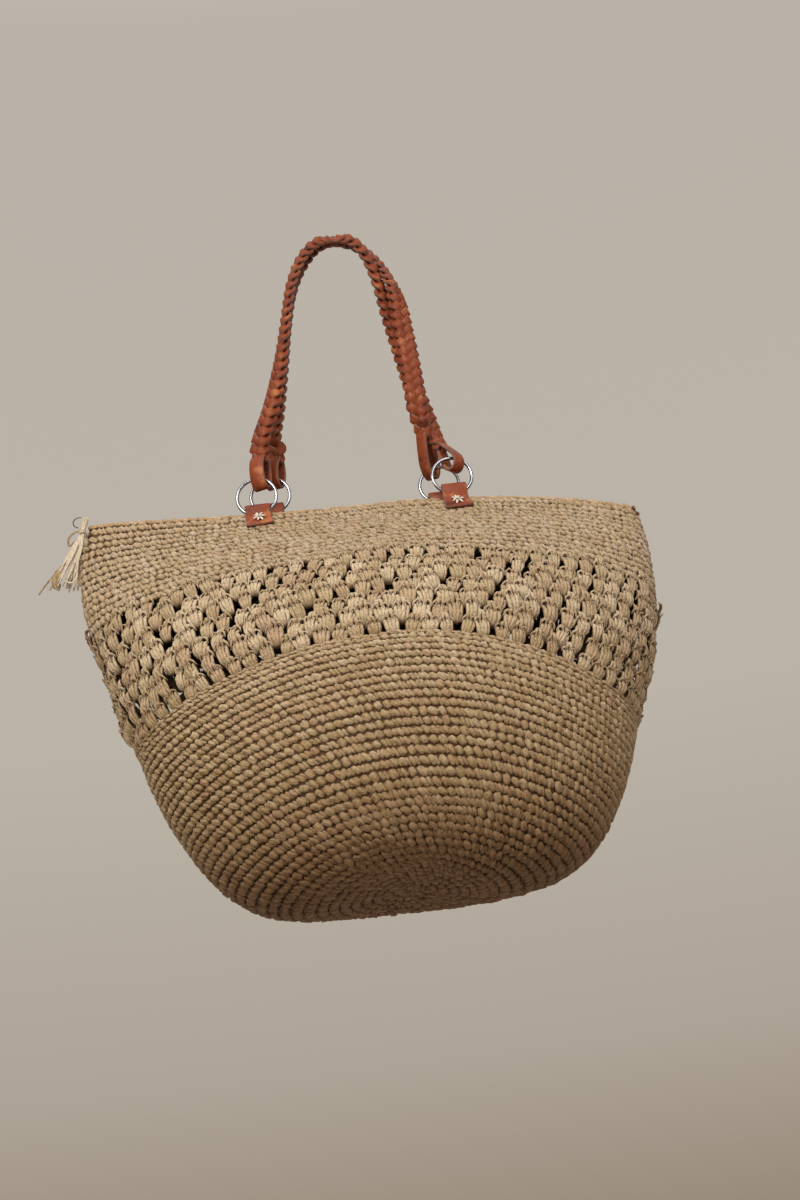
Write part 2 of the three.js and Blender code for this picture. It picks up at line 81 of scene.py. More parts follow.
def smooth_column(keys: Array, values: Array, at: Array) -> Array:
    """Reads a table smoothly between its rows.

    Args:
        keys: The rows' keys, rising.
        values: The rows' values.
        at: Where to read.

    Returns:
        A value for each entry of `at`, on a cubic through the rows.
    """
    keys, values = np.asarray(keys, float), np.asarray(values, float)
    at = np.asarray(at, float)
    slopes = np.empty_like(values)
    for n in range(len(keys)):
        a, b = max(0, n - 1), min(len(keys) - 1, n + 1)
        slopes[n] = (values[b] - values[a]) / (keys[b] - keys[a])
    i = np.clip(np.searchsorted(keys, at, side="left") - 1, 0, len(keys) - 2)
    span = keys[i + 1] - keys[i]
    t = (at - keys[i]) / span
    a, b = values[i], values[i + 1]
    da, db = slopes[i] * span, slopes[i + 1] * span
    return a + t * (da + t * (3 * (b - a) - 2 * da - db + t * (2 * (a - b) + da + db)))


@dataclass
class MeshData:
    """Points, faces and per-point values that grow into one mesh."""

    points: list = field(default_factory=list)
    faces: list = field(default_factory=list)
    grain: list = field(default_factory=list)
    crown: list = field(default_factory=list)

    def add(self, points: Array, faces: list, grain: Array, crown: Array) -> None:
        """Adds a closed patch.

        Args:
            points: Its points, in metres.
            faces: Its faces, as indices into those points.
            grain: For each point, how far across and how far along the strand it lies.
            crown: For each point, 0 down between strands to 1 on top of the strand. The straw's painted shade between
                strands is read from it.
        """
        start = len(self.points)
        self.points.extend(np.asarray(points, float).tolist())
        self.faces.extend([tuple(start + i for i in f) for f in faces])
        self.grain.extend(np.asarray(grain, float).tolist())
        self.crown.extend(np.asarray(crown, float).tolist())

    def mesh(self, name: str) -> bpy.types.Mesh:
        """The mesh that the patches make, with its grain map and crown values."""
        mesh = bpy.data.meshes.new(name)
        mesh.from_pydata(self.points, [], self.faces)
        mesh.update()
        uv = mesh.uv_layers.new(name="grain")
        loops = np.empty(len(mesh.loops), dtype=np.int32)
        mesh.loops.foreach_get("vertex_index", loops)
        uv.data.foreach_set("uv", np.asarray(self.grain, dtype=np.float32)[loops].ravel())
        crown = mesh.attributes.new("crown", "FLOAT", "POINT")
        crown.data.foreach_set("value", np.asarray(self.crown, dtype=np.float32))
        mesh.polygons.foreach_set("use_smooth", [True] * len(mesh.polygons))
        return mesh


def ring_faces(rings: int, sides: int) -> list:
    """Faces of a tube of rings of points, closed at both ends by a point after the last ring.

    Args:
        rings: How many rings.
        sides: How many points each ring has.

    Returns:
        The faces, as indices into the rings' points and the two end points.
    """
    faces = []
    for r in range(rings - 1):
        for k in range(sides):
            n = (k + 1) % sides
            faces.append((r * sides + k, r * sides + n, (r + 1) * sides + n, (r + 1) * sides + k))
    first, last = rings * sides, rings * sides + 1
    for k in range(sides):
        n = (k + 1) % sides
        faces.append((first, n, k))
        faces.append((last, (rings - 1) * sides + k, (rings - 1) * sides + n))
    return faces


def strand(
    data: MeshData, path: Array, outward: Array, half_width: Array, half_depth: Array, sides: int, boxy: float = 2.6
) -> None:
    """Adds a flat rounded strand along a path.

    Args:
        data: The mesh to grow.
        path: The strand's centre line.
        outward: At each point of the path, the way the strand's broad face looks.
        half_width: Half its width at each point.
        half_depth: Half its thickness at each point.
        sides: How many sides its section has.
        boxy: How square its section is, from 2 for round.
    """
    path = np.asarray(path, float)
    count = len(path)
    ahead = unit(np.gradient(path, axis=0))
    outward = np.broadcast_to(np.asarray(outward, float), path.shape)
    across = unit(np.cross(ahead, outward))
    face = np.cross(across, ahead)
    half_width = np.broadcast_to(half_width, (count,))
    half_depth = np.broadcast_to(half_depth, (count,))
    turn = 2 * math.pi * np.arange(sides) / sides
    flat, thick = np.cos(turn), np.sin(turn)
    flat, thick = (np.sign(v) * np.abs(v) ** (2 / boxy) for v in (flat, thick))
    points = (
        path[:, None, :]
        + across[:, None, :] * (half_width[:, None] * flat)[:, :, None]
        + face[:, None, :] * (half_depth[:, None] * thick)[:, :, None]
    )
    # the section runs anticlockwise as seen looking back along the path
    points = points[:, ::-1, :]
    thick = thick[::-1]
    length = np.concatenate([[0.0], np.cumsum(np.linalg.norm(np.diff(path, axis=0), axis=1))])
    grain = np.stack(
        [np.broadcast_to(np.arange(sides) / sides, (count, sides)), np.broadcast_to(length[:, None] / MM, (count, sides))], -1
    )
    crown = np.broadcast_to(0.5 + 0.5 * thick, (count, sides))
    points = np.concatenate([points.reshape(-1, 3), path[:1], path[-1:]])
    grain = np.concatenate([grain.reshape(-1, 2), [[0.5, 0.0], [0.5, length[-1] / MM]]])
    crown = np.concatenate([crown.ravel(), [0.5, 0.5]])
    data.add(points, ring_faces(count, sides), grain, crown)


STRAP_SECTION = (
    (1.0, -0.55, 0.0),
    (1.0, 0.55, 0.0),
    (0.9, 1.0, 1.0),
    (0.0, 1.0, 1.0),
    (-0.9, 1.0, 1.0),
    (-1.0, 0.55, 0.0),
    (-1.0, -0.55, 0.0),
    (-0.9, -1.0, 1.0),
    (0.0, -1.0, 1.0),
    (0.9, -1.0, 1.0),
)


def strap(data: MeshData, path: Array, outward: Array, half_width: Array, half_depth: Array, closed: bool = False) -> None:
    """Adds a leather strap along a path, with flat faces and cut edges.

    Args:
        data: The mesh to grow.
        path: The strap's centre line.
        outward: At each point of the path, the way its broad face looks.
        half_width: Half its width at each point.
        half_depth: Half its thickness at each point.
        closed: Whether its last point joins its first.
    """
    path = np.asarray(path, float)
    count, sides = len(path), len(STRAP_SECTION)
    if closed:
        ahead = unit(np.roll(path, -1, axis=0) - np.roll(path, 1, axis=0))
    else:
        ahead = unit(np.gradient(path, axis=0))
    across = unit(np.cross(ahead, np.broadcast_to(np.asarray(outward, float), path.shape)))
    face = np.cross(across, ahead)
    section = np.asarray(STRAP_SECTION)[::-1]
    half_width = np.broadcast_to(half_width, (count,))
    half_depth = np.broadcast_to(half_depth, (count,))
    points = (
        path[:, None, :]
        + across[:, None, :] * (half_width[:, None] * section[:, 0])[:, :, None]
        + face[:, None, :] * (half_depth[:, None] * section[:, 1])[:, :, None]
    ).reshape(-1, 3)
    length = np.concatenate([[0.0], np.cumsum(np.linalg.norm(np.diff(path, axis=0), axis=1))])
    grain = np.stack(
        [np.broadcast_to(section[:, 0] * 0.5, (count, sides)), np.broadcast_to(length[:, None] / MM, (count, sides))], -1
    ).reshape(-1, 2)
    crown = np.broadcast_to(section[:, 2], (count, sides)).ravel()
    if closed:
        faces = []
        for r in range(count):
            n = (r + 1) % count
            for k in range(sides):
                m = (k + 1) % sides
                faces.append((r * sides + k, r * sides + m, n * sides + m, n * sides + k))
        data.add(points, faces, grain, crown)
        return
    points = np.concatenate([points, path[:1], path[-1:]])
    grain = np.concatenate([grain, [[0.0, 0.0], [0.0, length[-1] / MM]]])
    data.add(points, ring_faces(count, sides), grain, np.concatenate([crown, [0.0, 0.0]]))


def bezier_path(points: list, count: int) -> Array:
    """A smooth path through a few points, cut into equal shares of the points' spacing.

    Args:
        points: The points to pass through.
        count: How many points the path gets.

    Returns:
        The path's points.
    """
    pts = np.asarray(points, float)
    keys = np.arange(len(pts), dtype=float)
    at = np.linspace(0, len(pts) - 1, count)
    return np.stack([smooth_column(keys, pts[:, c], at) for c in range(3)], -1)


def put(name: str, mesh: bpy.types.Mesh, finish: bpy.types.Material | None = None) -> bpy.types.Object:
    """Links a mesh into the scene as an object at the origin.

    Args:
        name: The object's name.
        mesh: Its mesh.
        finish: Its material, where the mesh has none of its own.

    Returns:
        The object.
    """
    obj = bpy.data.objects.new(name, mesh)
    bpy.context.scene.collection.objects.link(obj)
    if finish is not None:
        mesh.materials.clear()
        mesh.materials.append(finish)
    return obj


# Finishes


class Nodes:
    """A material's node tree, with short calls to add and wire its nodes."""

    def __init__(self, name: str) -> None:
        """Starts an empty material of that name."""
        self.material = bpy.data.materials.new(name)
        self.material.use_nodes = True
        self.tree = self.material.node_tree
        self.tree.nodes.clear()
        self.out = self.tree.nodes.new("ShaderNodeOutputMaterial")
        self.skin = self.tree.nodes.new("ShaderNodeBsdfPrincipled")
        self.tree.links.new(self.skin.outputs["BSDF"], self.out.inputs["Surface"])

    def add(self, kind: str, inputs: dict | None = None, **settings: object) -> bpy.types.Node:
        """Adds a node, with its settings, its constants and its links from other sockets.

        Args:
            kind: The node's type.
            inputs: For each input to set, a constant or the socket it is linked from.
            settings: The node's own settings.

        Returns:
            The node.
        """
        node = self.tree.nodes.new(kind)
        for key, value in settings.items():
            setattr(node, key, value)
        for key, value in (inputs or {}).items():
            self.feed(node, key, value)
        return node

    def feed(self, node: bpy.types.Node, key: str | int, value: object) -> None:
        """Sets one input of a node to a constant, or links it to another node's socket.

        Args:
            node: The node.
            key: The input's name or number.
            value: The constant or the socket.
        """
        if isinstance(value, bpy.types.NodeSocket):
            self.tree.links.new(value, node.inputs[key])
        else:
            node.inputs[key].default_value = value

    def ramp(self, factor: bpy.types.NodeSocket, stops: list) -> bpy.types.NodeSocket:
        """A colour ramp with stops of (place, (red, green, blue)).

        Args:
            factor: The value that runs along the ramp.
            stops: The stops.

        Returns:
            The ramp's colour.
        """
        node = self.add("ShaderNodeValToRGB", {"Fac": factor})
        elements = node.color_ramp.elements
        while len(elements) < len(stops):
            elements.new(0.5)
        for element, (place, colour) in zip(elements, stops):
            element.position = place
            element.color = (*colour, 1)
        return node.outputs["Color"]

    def spread(self, value: bpy.types.NodeSocket, low: float, high: float, to_low: float, to_high: float) -> bpy.types.NodeSocket:
        """A value moved from one range to another and held inside it."""
        node = self.add("ShaderNodeMapRange", {0: value, 1: low, 2: high, 3: to_low, 4: to_high}, clamp=True)
        return node.outputs[0]

    def blend(self, factor: object, a: object, b: object, mode: str = "MIX") -> bpy.types.NodeSocket:
        """Two colours mixed by a factor.

        Args:
            factor: The share of the second colour.
            a: The first colour or its socket.
            b: The second colour or its socket.
            mode: How they are mixed.

        Returns:
            The mixed colour.
        """
        node = self.add("ShaderNodeMix", data_type="RGBA", blend_type=mode)
        self.feed(node, 0, factor)
        for key, value in ((6, a), (7, b)):
            self.feed(node, key, value if isinstance(value, bpy.types.NodeSocket) else (*value, 1))
        return node.outputs[2]

    def noise(self, vector: bpy.types.NodeSocket, scale: float, detail: float = 3, rough: float = 0.5) -> bpy.types.NodeSocket:
        """A noise from 0 to 1 at that scale."""
        node = self.add("ShaderNodeTexNoise", {"Vector": vector, "Scale": scale, "Detail": detail, "Roughness": rough})
        return node.outputs["Fac"]

    def bump(
        self, height: bpy.types.NodeSocket, distance: float, strength: float = 1.0, normal: object = None
    ) -> bpy.types.NodeSocket:
        """A bump of that height, in metres, on top of another.

        Args:
            height: The height, from 0 to 1.
            distance: The rise from 0 to 1, in metres.
            strength: The share of it that shows.
            normal: The bump below it.

        Returns:
            The bumped normal.
        """
        node = self.add("ShaderNodeBump", {"Height": height, "Distance": distance, "Strength": strength})
        if normal is not None:
            self.feed(node, "Normal", normal)
        return node.outputs["Normal"]


@dataclass(frozen=True)
class Straw:
    """Raffia: dry palm-leaf strand with fine lengthwise fibres and a colour of its own in each stitch.

    With a foot, each strand starts browner, a painted shade at its hidden foot, and is its own colour
    that many millimetres along. Each strand's sides and underside and its fine creases are darkened
    with painted shade, and the straw is darker and browner the nearer it is to the base, a painted
    shade of the bag's underside.
    """

    name: str
    pale: tuple = (0.63, 0.5, 0.335)
    tan: tuple = (0.53, 0.385, 0.23)
    olive: tuple = (0.5, 0.385, 0.215)
    russet: tuple = (0.51, 0.345, 0.215)
    # colour of the dark fibre lines, and of the painted shade in the grooves between strands and in the fine creases
    fibre_and_groove_shade: tuple = (0.095, 0.045, 0.014)
    foot_shade: tuple = (0.27, 0.14, 0.055)
    fibre_bump: float = 0.0006
    groove_shade_from: float = 0.46
    groove_shade_to: float = 0.84
    foot: float = 0.0
    # painted shade: the straw darkens and browns from the higher of these heights down to the lower, towards the base
    base_shade_low: float = -0.56
    base_shade_high: float = -0.41
    painted_base_shade: tuple = (
        (0.0, (0.4, 0.29, 0.21)),
        (0.1, (0.47, 0.36, 0.27)),
        (0.4, (0.74, 0.67, 0.57)),
        (0.73, (0.88, 0.83, 0.77)),
        (1.0, (1.0, 0.99, 0.98)),
    )

    def material(self) -> bpy.types.Material:
        """The finish as a material."""
        n = Nodes(self.name)
        place = n.add("ShaderNodeTexCoord").outputs["Object"]
        tint = n.add("ShaderNodeAttribute", attribute_name="tint").outputs["Fac"]
        crown = n.add("ShaderNodeAttribute", attribute_name="crown").outputs["Fac"]
        grain = n.add("ShaderNodeUVMap", uv_map="grain").outputs["UV"]
        apart = n.add("ShaderNodeCombineXYZ", {0: tint, 1: tint}).outputs[0]
        apart = n.add("ShaderNodeVectorMath", {0: apart, 1: (37.0, 91.0, 0.0)}, operation="MULTIPLY").outputs[0]
        strands = n.add("ShaderNodeVectorMath", {0: grain, 1: (13.0, 0.22, 1.0), 2: apart}, operation="MULTIPLY_ADD").outputs[0]
        fibres = n.noise(strands, 1.0, 4, 0.6)
        shades = ((0.0, self.russet), (0.1, self.tan), (0.4, self.tan), (0.6, self.olive), (0.78, self.pale), (1.0, self.pale))
        body = n.ramp(tint, list(shades))
        patch = n.spread(n.noise(place, 34.0, 3), 0.3, 0.7, 0.0, 1.0)
        colour = n.blend(n.spread(patch, 0.0, 1.0, 0.0, 0.45), body, self.pale)
        colour = n.blend(n.spread(fibres, 0.36, 0.54, 0.5, 0.0), colour, self.fibre_and_groove_shade)
        # painted shade in the fine creases: the low places of the crease bump are darkened
        creases = n.noise(place, 620.0, 2)
        colour = n.blend(n.spread(creases, 0.34, 0.5, 0.38, 0.0), colour, self.fibre_and_groove_shade)
        # painted shade: each fan strand's first millimetres, at its hidden foot, are blended towards a darker brown
        if self.foot > 0:
            along = n.add("ShaderNodeSeparateXYZ", {0: grain}).outputs[1]
            colour = n.blend(n.spread(along, 1.5, self.foot, 0.7, 0.0), colour, self.foot_shade)
        # painted shade: each strand's sides and underside, low on the crown, are darkened towards the shade colour
        groove_shade_mask = n.spread(crown, self.groove_shade_from, self.groove_shade_to, 0.95, 0.0)
        colour = n.blend(groove_shade_mask, colour, self.fibre_and_groove_shade)
        # painted shade of the underside: the colour is multiplied darker and browner towards the base
        height = n.add("ShaderNodeSeparateXYZ", {0: place}).outputs[2]
        height = n.spread(height, self.base_shade_low, self.base_shade_high, 0.0, 1.0)
        colour = n.blend(1.0, colour, n.ramp(height, list(self.painted_base_shade)), "MULTIPLY")
        n.feed(n.skin, "Base Color", colour)
        n.feed(n.skin, "Roughness", n.spread(fibres, 0.3, 0.7, 0.78, 0.56))
        n.feed(n.skin, "Specular IOR Level", 0.35)
        n.feed(n.skin, "Sheen Weight", 0.06)
        n.feed(n.skin, "Sheen Roughness", 0.5)
        fine = n.bump(creases, 0.0004, 0.7)
        n.feed(n.skin, "Normal", n.bump(fibres, self.fibre_bump, 0.9, fine))
        return n.material


@dataclass(frozen=True)
class Leather:
    """Cognac leather, semi-matt, with a fine grain, darker rubbed patches and raw greyish edges."""

    name: str
    body: tuple = (0.25, 0.052, 0.018)
    rubbed: tuple = (0.44, 0.145, 0.05)
    shade: tuple = (0.085, 0.018, 0.011)
    raw_edge: tuple = (0.2, 0.12, 0.1)
    edge_share: float = 0.0

    def material(self) -> bpy.types.Material:
        """The finish as a material."""
        n = Nodes(self.name)
        place = n.add("ShaderNodeTexCoord").outputs["Object"]
        broad = n.noise(place, 75.0, 4, 0.65)
        colour = n.ramp(broad, [(0.3, self.shade), (0.45, self.body), (0.55, self.body), (0.68, self.rubbed)])
        if self.edge_share > 0:
            crown = n.add("ShaderNodeAttribute", attribute_name="crown").outputs["Fac"]
            edge = n.spread(crown, self.edge_share, self.edge_share * 0.5, 0.0, 0.85)
            colour = n.blend(edge, colour, self.raw_edge)
        n.feed(n.skin, "Base Color", colour)
        fine = n.noise(place, 1500.0, 3, 0.6)
        n.feed(n.skin, "Roughness", n.spread(n.noise(place, 240.0, 3), 0.3, 0.7, 0.40, 0.58))
        n.feed(n.skin, "Specular IOR Level", 0.27)
        creases = n.bump(n.noise(place, 330.0, 4, 0.65), 0.00025, 0.6)
        n.feed(n.skin, "Normal", n.bump(fine, 0.00007, 0.7, creases))
        return n.material


@dataclass(frozen=True)
class Nickel:
    """Bright nickel plate with faint handling marks."""

    name: str
    colour: tuple = (0.38, 0.4, 0.45)

    def material(self) -> bpy.types.Material:
        """The finish as a material."""
        n = Nodes(self.name)
        place = n.add("ShaderNodeTexCoord").outputs["Object"]
        marks = n.noise(place, 420.0, 4, 0.6)
        n.feed(n.skin, "Base Color", n.ramp(marks, [(0.3, tuple(0.8 * c for c in self.colour)), (0.6, self.colour)]))
        n.feed(n.skin, "Metallic", 1.0)
        n.feed(n.skin, "Roughness", n.spread(marks, 0.3, 0.7, 0.16, 0.24))
        n.feed(n.skin, "Normal", n.bump(marks, 0.000006, 0.08))
        return n.material


# The bag's form


@dataclass
class BagForm:
    """The bag's cross-sections, from the base's centre up to the rim."""

    mouth_width: float = 416 * MM
    height: float = 324 * MM
    depth: float = 181 * MM
    back_plane: float = 18 * MM
    handle_drop: float = 242 * MM
    squareness: float = 2.2
    wall: float = 4 * MM
    columns: tuple = ("round", "left", "right", "front", "back", "front_up", "left_up", "right_up", "back_up")
    rows: tuple = (
        (0.00, 0.000, 0.000, 0.485, 0.485, 0.036, 0.036, 0.036, 0.036),
        (0.06, 0.064, 0.066, 0.550, 0.410, 0.037, 0.027, 0.026, 0.029),
        (0.14, 0.148, 0.151, 0.635, 0.310, 0.041, 0.017, 0.014, 0.023),
        (0.25, 0.264, 0.251, 0.745, 0.180, 0.050, 0.008, 0.005, 0.024),
        (0.37, 0.379, 0.365, 0.838, 0.075, 0.074, 0.009, 0.012, 0.062),
        (0.50, 0.493, 0.474, 0.905, 0.012, 0.113, 0.027, 0.028, 0.127),
        (0.63, 0.597, 0.575, 0.943, 0.000, 0.172, 0.074, 0.066, 0.207),
        (0.76, 0.690, 0.664, 0.975, 0.000, 0.268, 0.152, 0.138, 0.296),
        (0.88, 0.770, 0.730, 0.996, 0.000, 0.372, 0.250, 0.221, 0.384),
        (1.00, 0.835, 0.785, 0.992, 0.000, 0.478, 0.370, 0.320, 0.478),
        (1.50, 0.918, 0.888, 0.830, 0.000, 0.627, 0.537, 0.484, 0.632),
        (2.00, 0.995, 0.952, 0.612, 0.000, 0.757, 0.700, 0.646, 0.780),
        (2.50, 1.040, 0.982, 0.370, 0.000, 0.880, 0.860, 0.790, 0.905),
        (2.80, 1.036, 0.987, 0.220, 0.008, 0.950, 0.965, 0.870, 0.978),
        (3.00, 1.020, 0.985, 0.156, 0.020, 0.996, 1.030, 0.920, 1.020),
    )

    def reaches(self, at: float) -> dict:
        """The section's four reaches and four heights at a round, in metres.

        Args:
            at: The round.

        Returns:
            For each side, how far it reaches and, under the side's name with _up, how high it lies.
        """
        table = np.asarray(self.rows)
        share = {c: float(smooth_column(table[:, 0], table[:, i], at)) for i, c in enumerate(self.columns)}
        out = {
            "left": share["left"] * self.mouth_width / 2,
            "right": share["right"] * self.mouth_width / 2,
            "front": share["front"] * self.depth - self.back_plane,
            "back": self.back_plane - share["back"] * self.depth,
        }
        for side in ("front", "left", "right", "back"):
            out[f"{side}_up"] = share[f"{side}_up"] * self.height - self.height - self.handle_drop
        return out

    def section(self, at: float, inset: float) -> dict:
        """The section moved squarely into the bag by `inset`.

        Args:
            at: The round.
            inset: How far inside the outer skin.

        Returns:
            The same reaches and heights as those of the outer skin.
        """
        here = self.reaches(at)
        low, high = self.reaches(max(0.001, at - 0.01)), self.reaches(min(3.0, at + 0.01))
        for side in ("left", "right", "front", "back"):
            out, up = high[side] - low[side], high[f"{side}_up"] - low[f"{side}_up"]
            length = math.hypot(out, up)
            here[side] -= inset * up / length
            here[f"{side}_up"] += inset * out / length
        return here

    def loop(self, at: float, angles: Array, inset: float = 0.0) -> Array:
        """Points of one round. Angle 0 is the right-hand end and a quarter turn is mid-back.

        Args:
            at: The round.
            angles: Where on it.
            inset: How far inside the outer skin.

        Returns:
            A point for each angle.
        """
        s = self.section(at, inset)
        c, d = np.cos(angles), np.sin(angles)
        across = np.sign(c) * np.abs(c) ** (2 / self.squareness)
        away = np.sign(d) * np.abs(d) ** (2 / self.squareness)
        x = across * np.where(across > 0, s["right"], s["left"])
        y = (s["back"] - s["front"]) / 2 + (s["back"] + s["front"]) / 2 * away
        middle = s["front_up"] + (s["back_up"] - s["front_up"]) * (away + 1) / 2
        end = np.where(across > 0, s["right_up"], s["left_up"])
        return np.stack([x, y, middle + (end - middle) * across**2], -1)

    def even(self, at: float, inset: float, count: int, start: float) -> tuple:
        """Evenly spaced places on one round.

        Args:
            at: The round.
            inset: How far inside the outer skin.
            count: How many places.
            start: Where the first one is, as a share of the spacing.

        Returns:
            The places' points, their directions along the round, up the wall and outward.
        """
        dense = np.linspace(0, 2 * math.pi, 1441)
        pts = self.loop(at, dense, inset)
        gone = np.concatenate([[0], np.cumsum(np.linalg.norm(np.diff(pts, axis=0), axis=1))])
        share = ((np.arange(count) + start) / count) % 1.0
        angle = np.interp(share * gone[-1], gone, dense)
        here = self.loop(at, angle, inset)
        step = 2 * math.pi / 720
        along = unit(self.loop(at, angle + step, inset) - self.loop(at, angle - step, inset))
        low, high = max(0.004, at - 0.01), min(3.0, at + 0.01)
        up = unit(self.loop(high, angle, inset) - self.loop(low, angle, inset))
        out = unit(np.cross(along, up))
        return here, along, np.cross(out, along), out

    def girth(self, at: float, inset: float) -> float:
        """Length of one round."""
        pts = self.loop(at, np.linspace(0, 2 * math.pi, 721), inset)
        return float(np.linalg.norm(np.diff(pts, axis=0), axis=1).sum())

    def rise(self, low: float, high: float) -> float:
        """Mean distance up the wall between two rounds.

        Args:
            low: The lower round.
            high: The higher round.

        Returns:
            The distance.
        """
        angles = np.linspace(0, 2 * math.pi, 73)[:-1]
        levels = [self.loop(r, angles) for r in np.linspace(max(low, 0.001), high, 25)]
        return float(sum(np.linalg.norm(b - a, axis=1).mean() for a, b in zip(levels, levels[1:])))


# Crochet


class Zone(Enum):
    """The closed parts of the wall: a name, the first round of crochet and the one after the last."""

    BASE = ("straw_base", 0, 14)
    LOWER_SIDE = ("straw_lower_side", 14, 25)
    UPPER_SIDE = ("straw_upper_side", 25, 36)
    LOWER_BAND = ("straw_lower_band", 40, 47)
    UPPER_BAND = ("straw_upper_band", 47, 54)


ROUND_PLACES = (
    (0, 0.0),
    (8, 0.262),
    (12, 0.428),
    (16, 0.582),
    (20, 0.704),
    (24, 0.797),
    (28, 0.878),
    (32, 0.942),
    (36, 1.0),
)
BAND_ROUND, BAND_ROUNDS = 40, 14
BAND_FROM, BAND_SPAN = 1.97, 1.015


def place_of_round(n: float) -> float:
    """Where a round of crochet lies, from 0 mid-base through 1 below the openwork to 3 at the rim.

    Rounds 0 to 36 are the bottom's and 40 to 54 the top band's.

    Args:
        n: The round's number.

    Returns:
        Its place.
    """
    if n >= BAND_ROUND:
        return BAND_FROM + (n - BAND_ROUND) / BAND_ROUNDS * BAND_SPAN
    table = np.asarray(ROUND_PLACES, float)
    return float(np.clip(smooth_column(table[:, 0], table[:, 1], n), 0.0, 1.0))


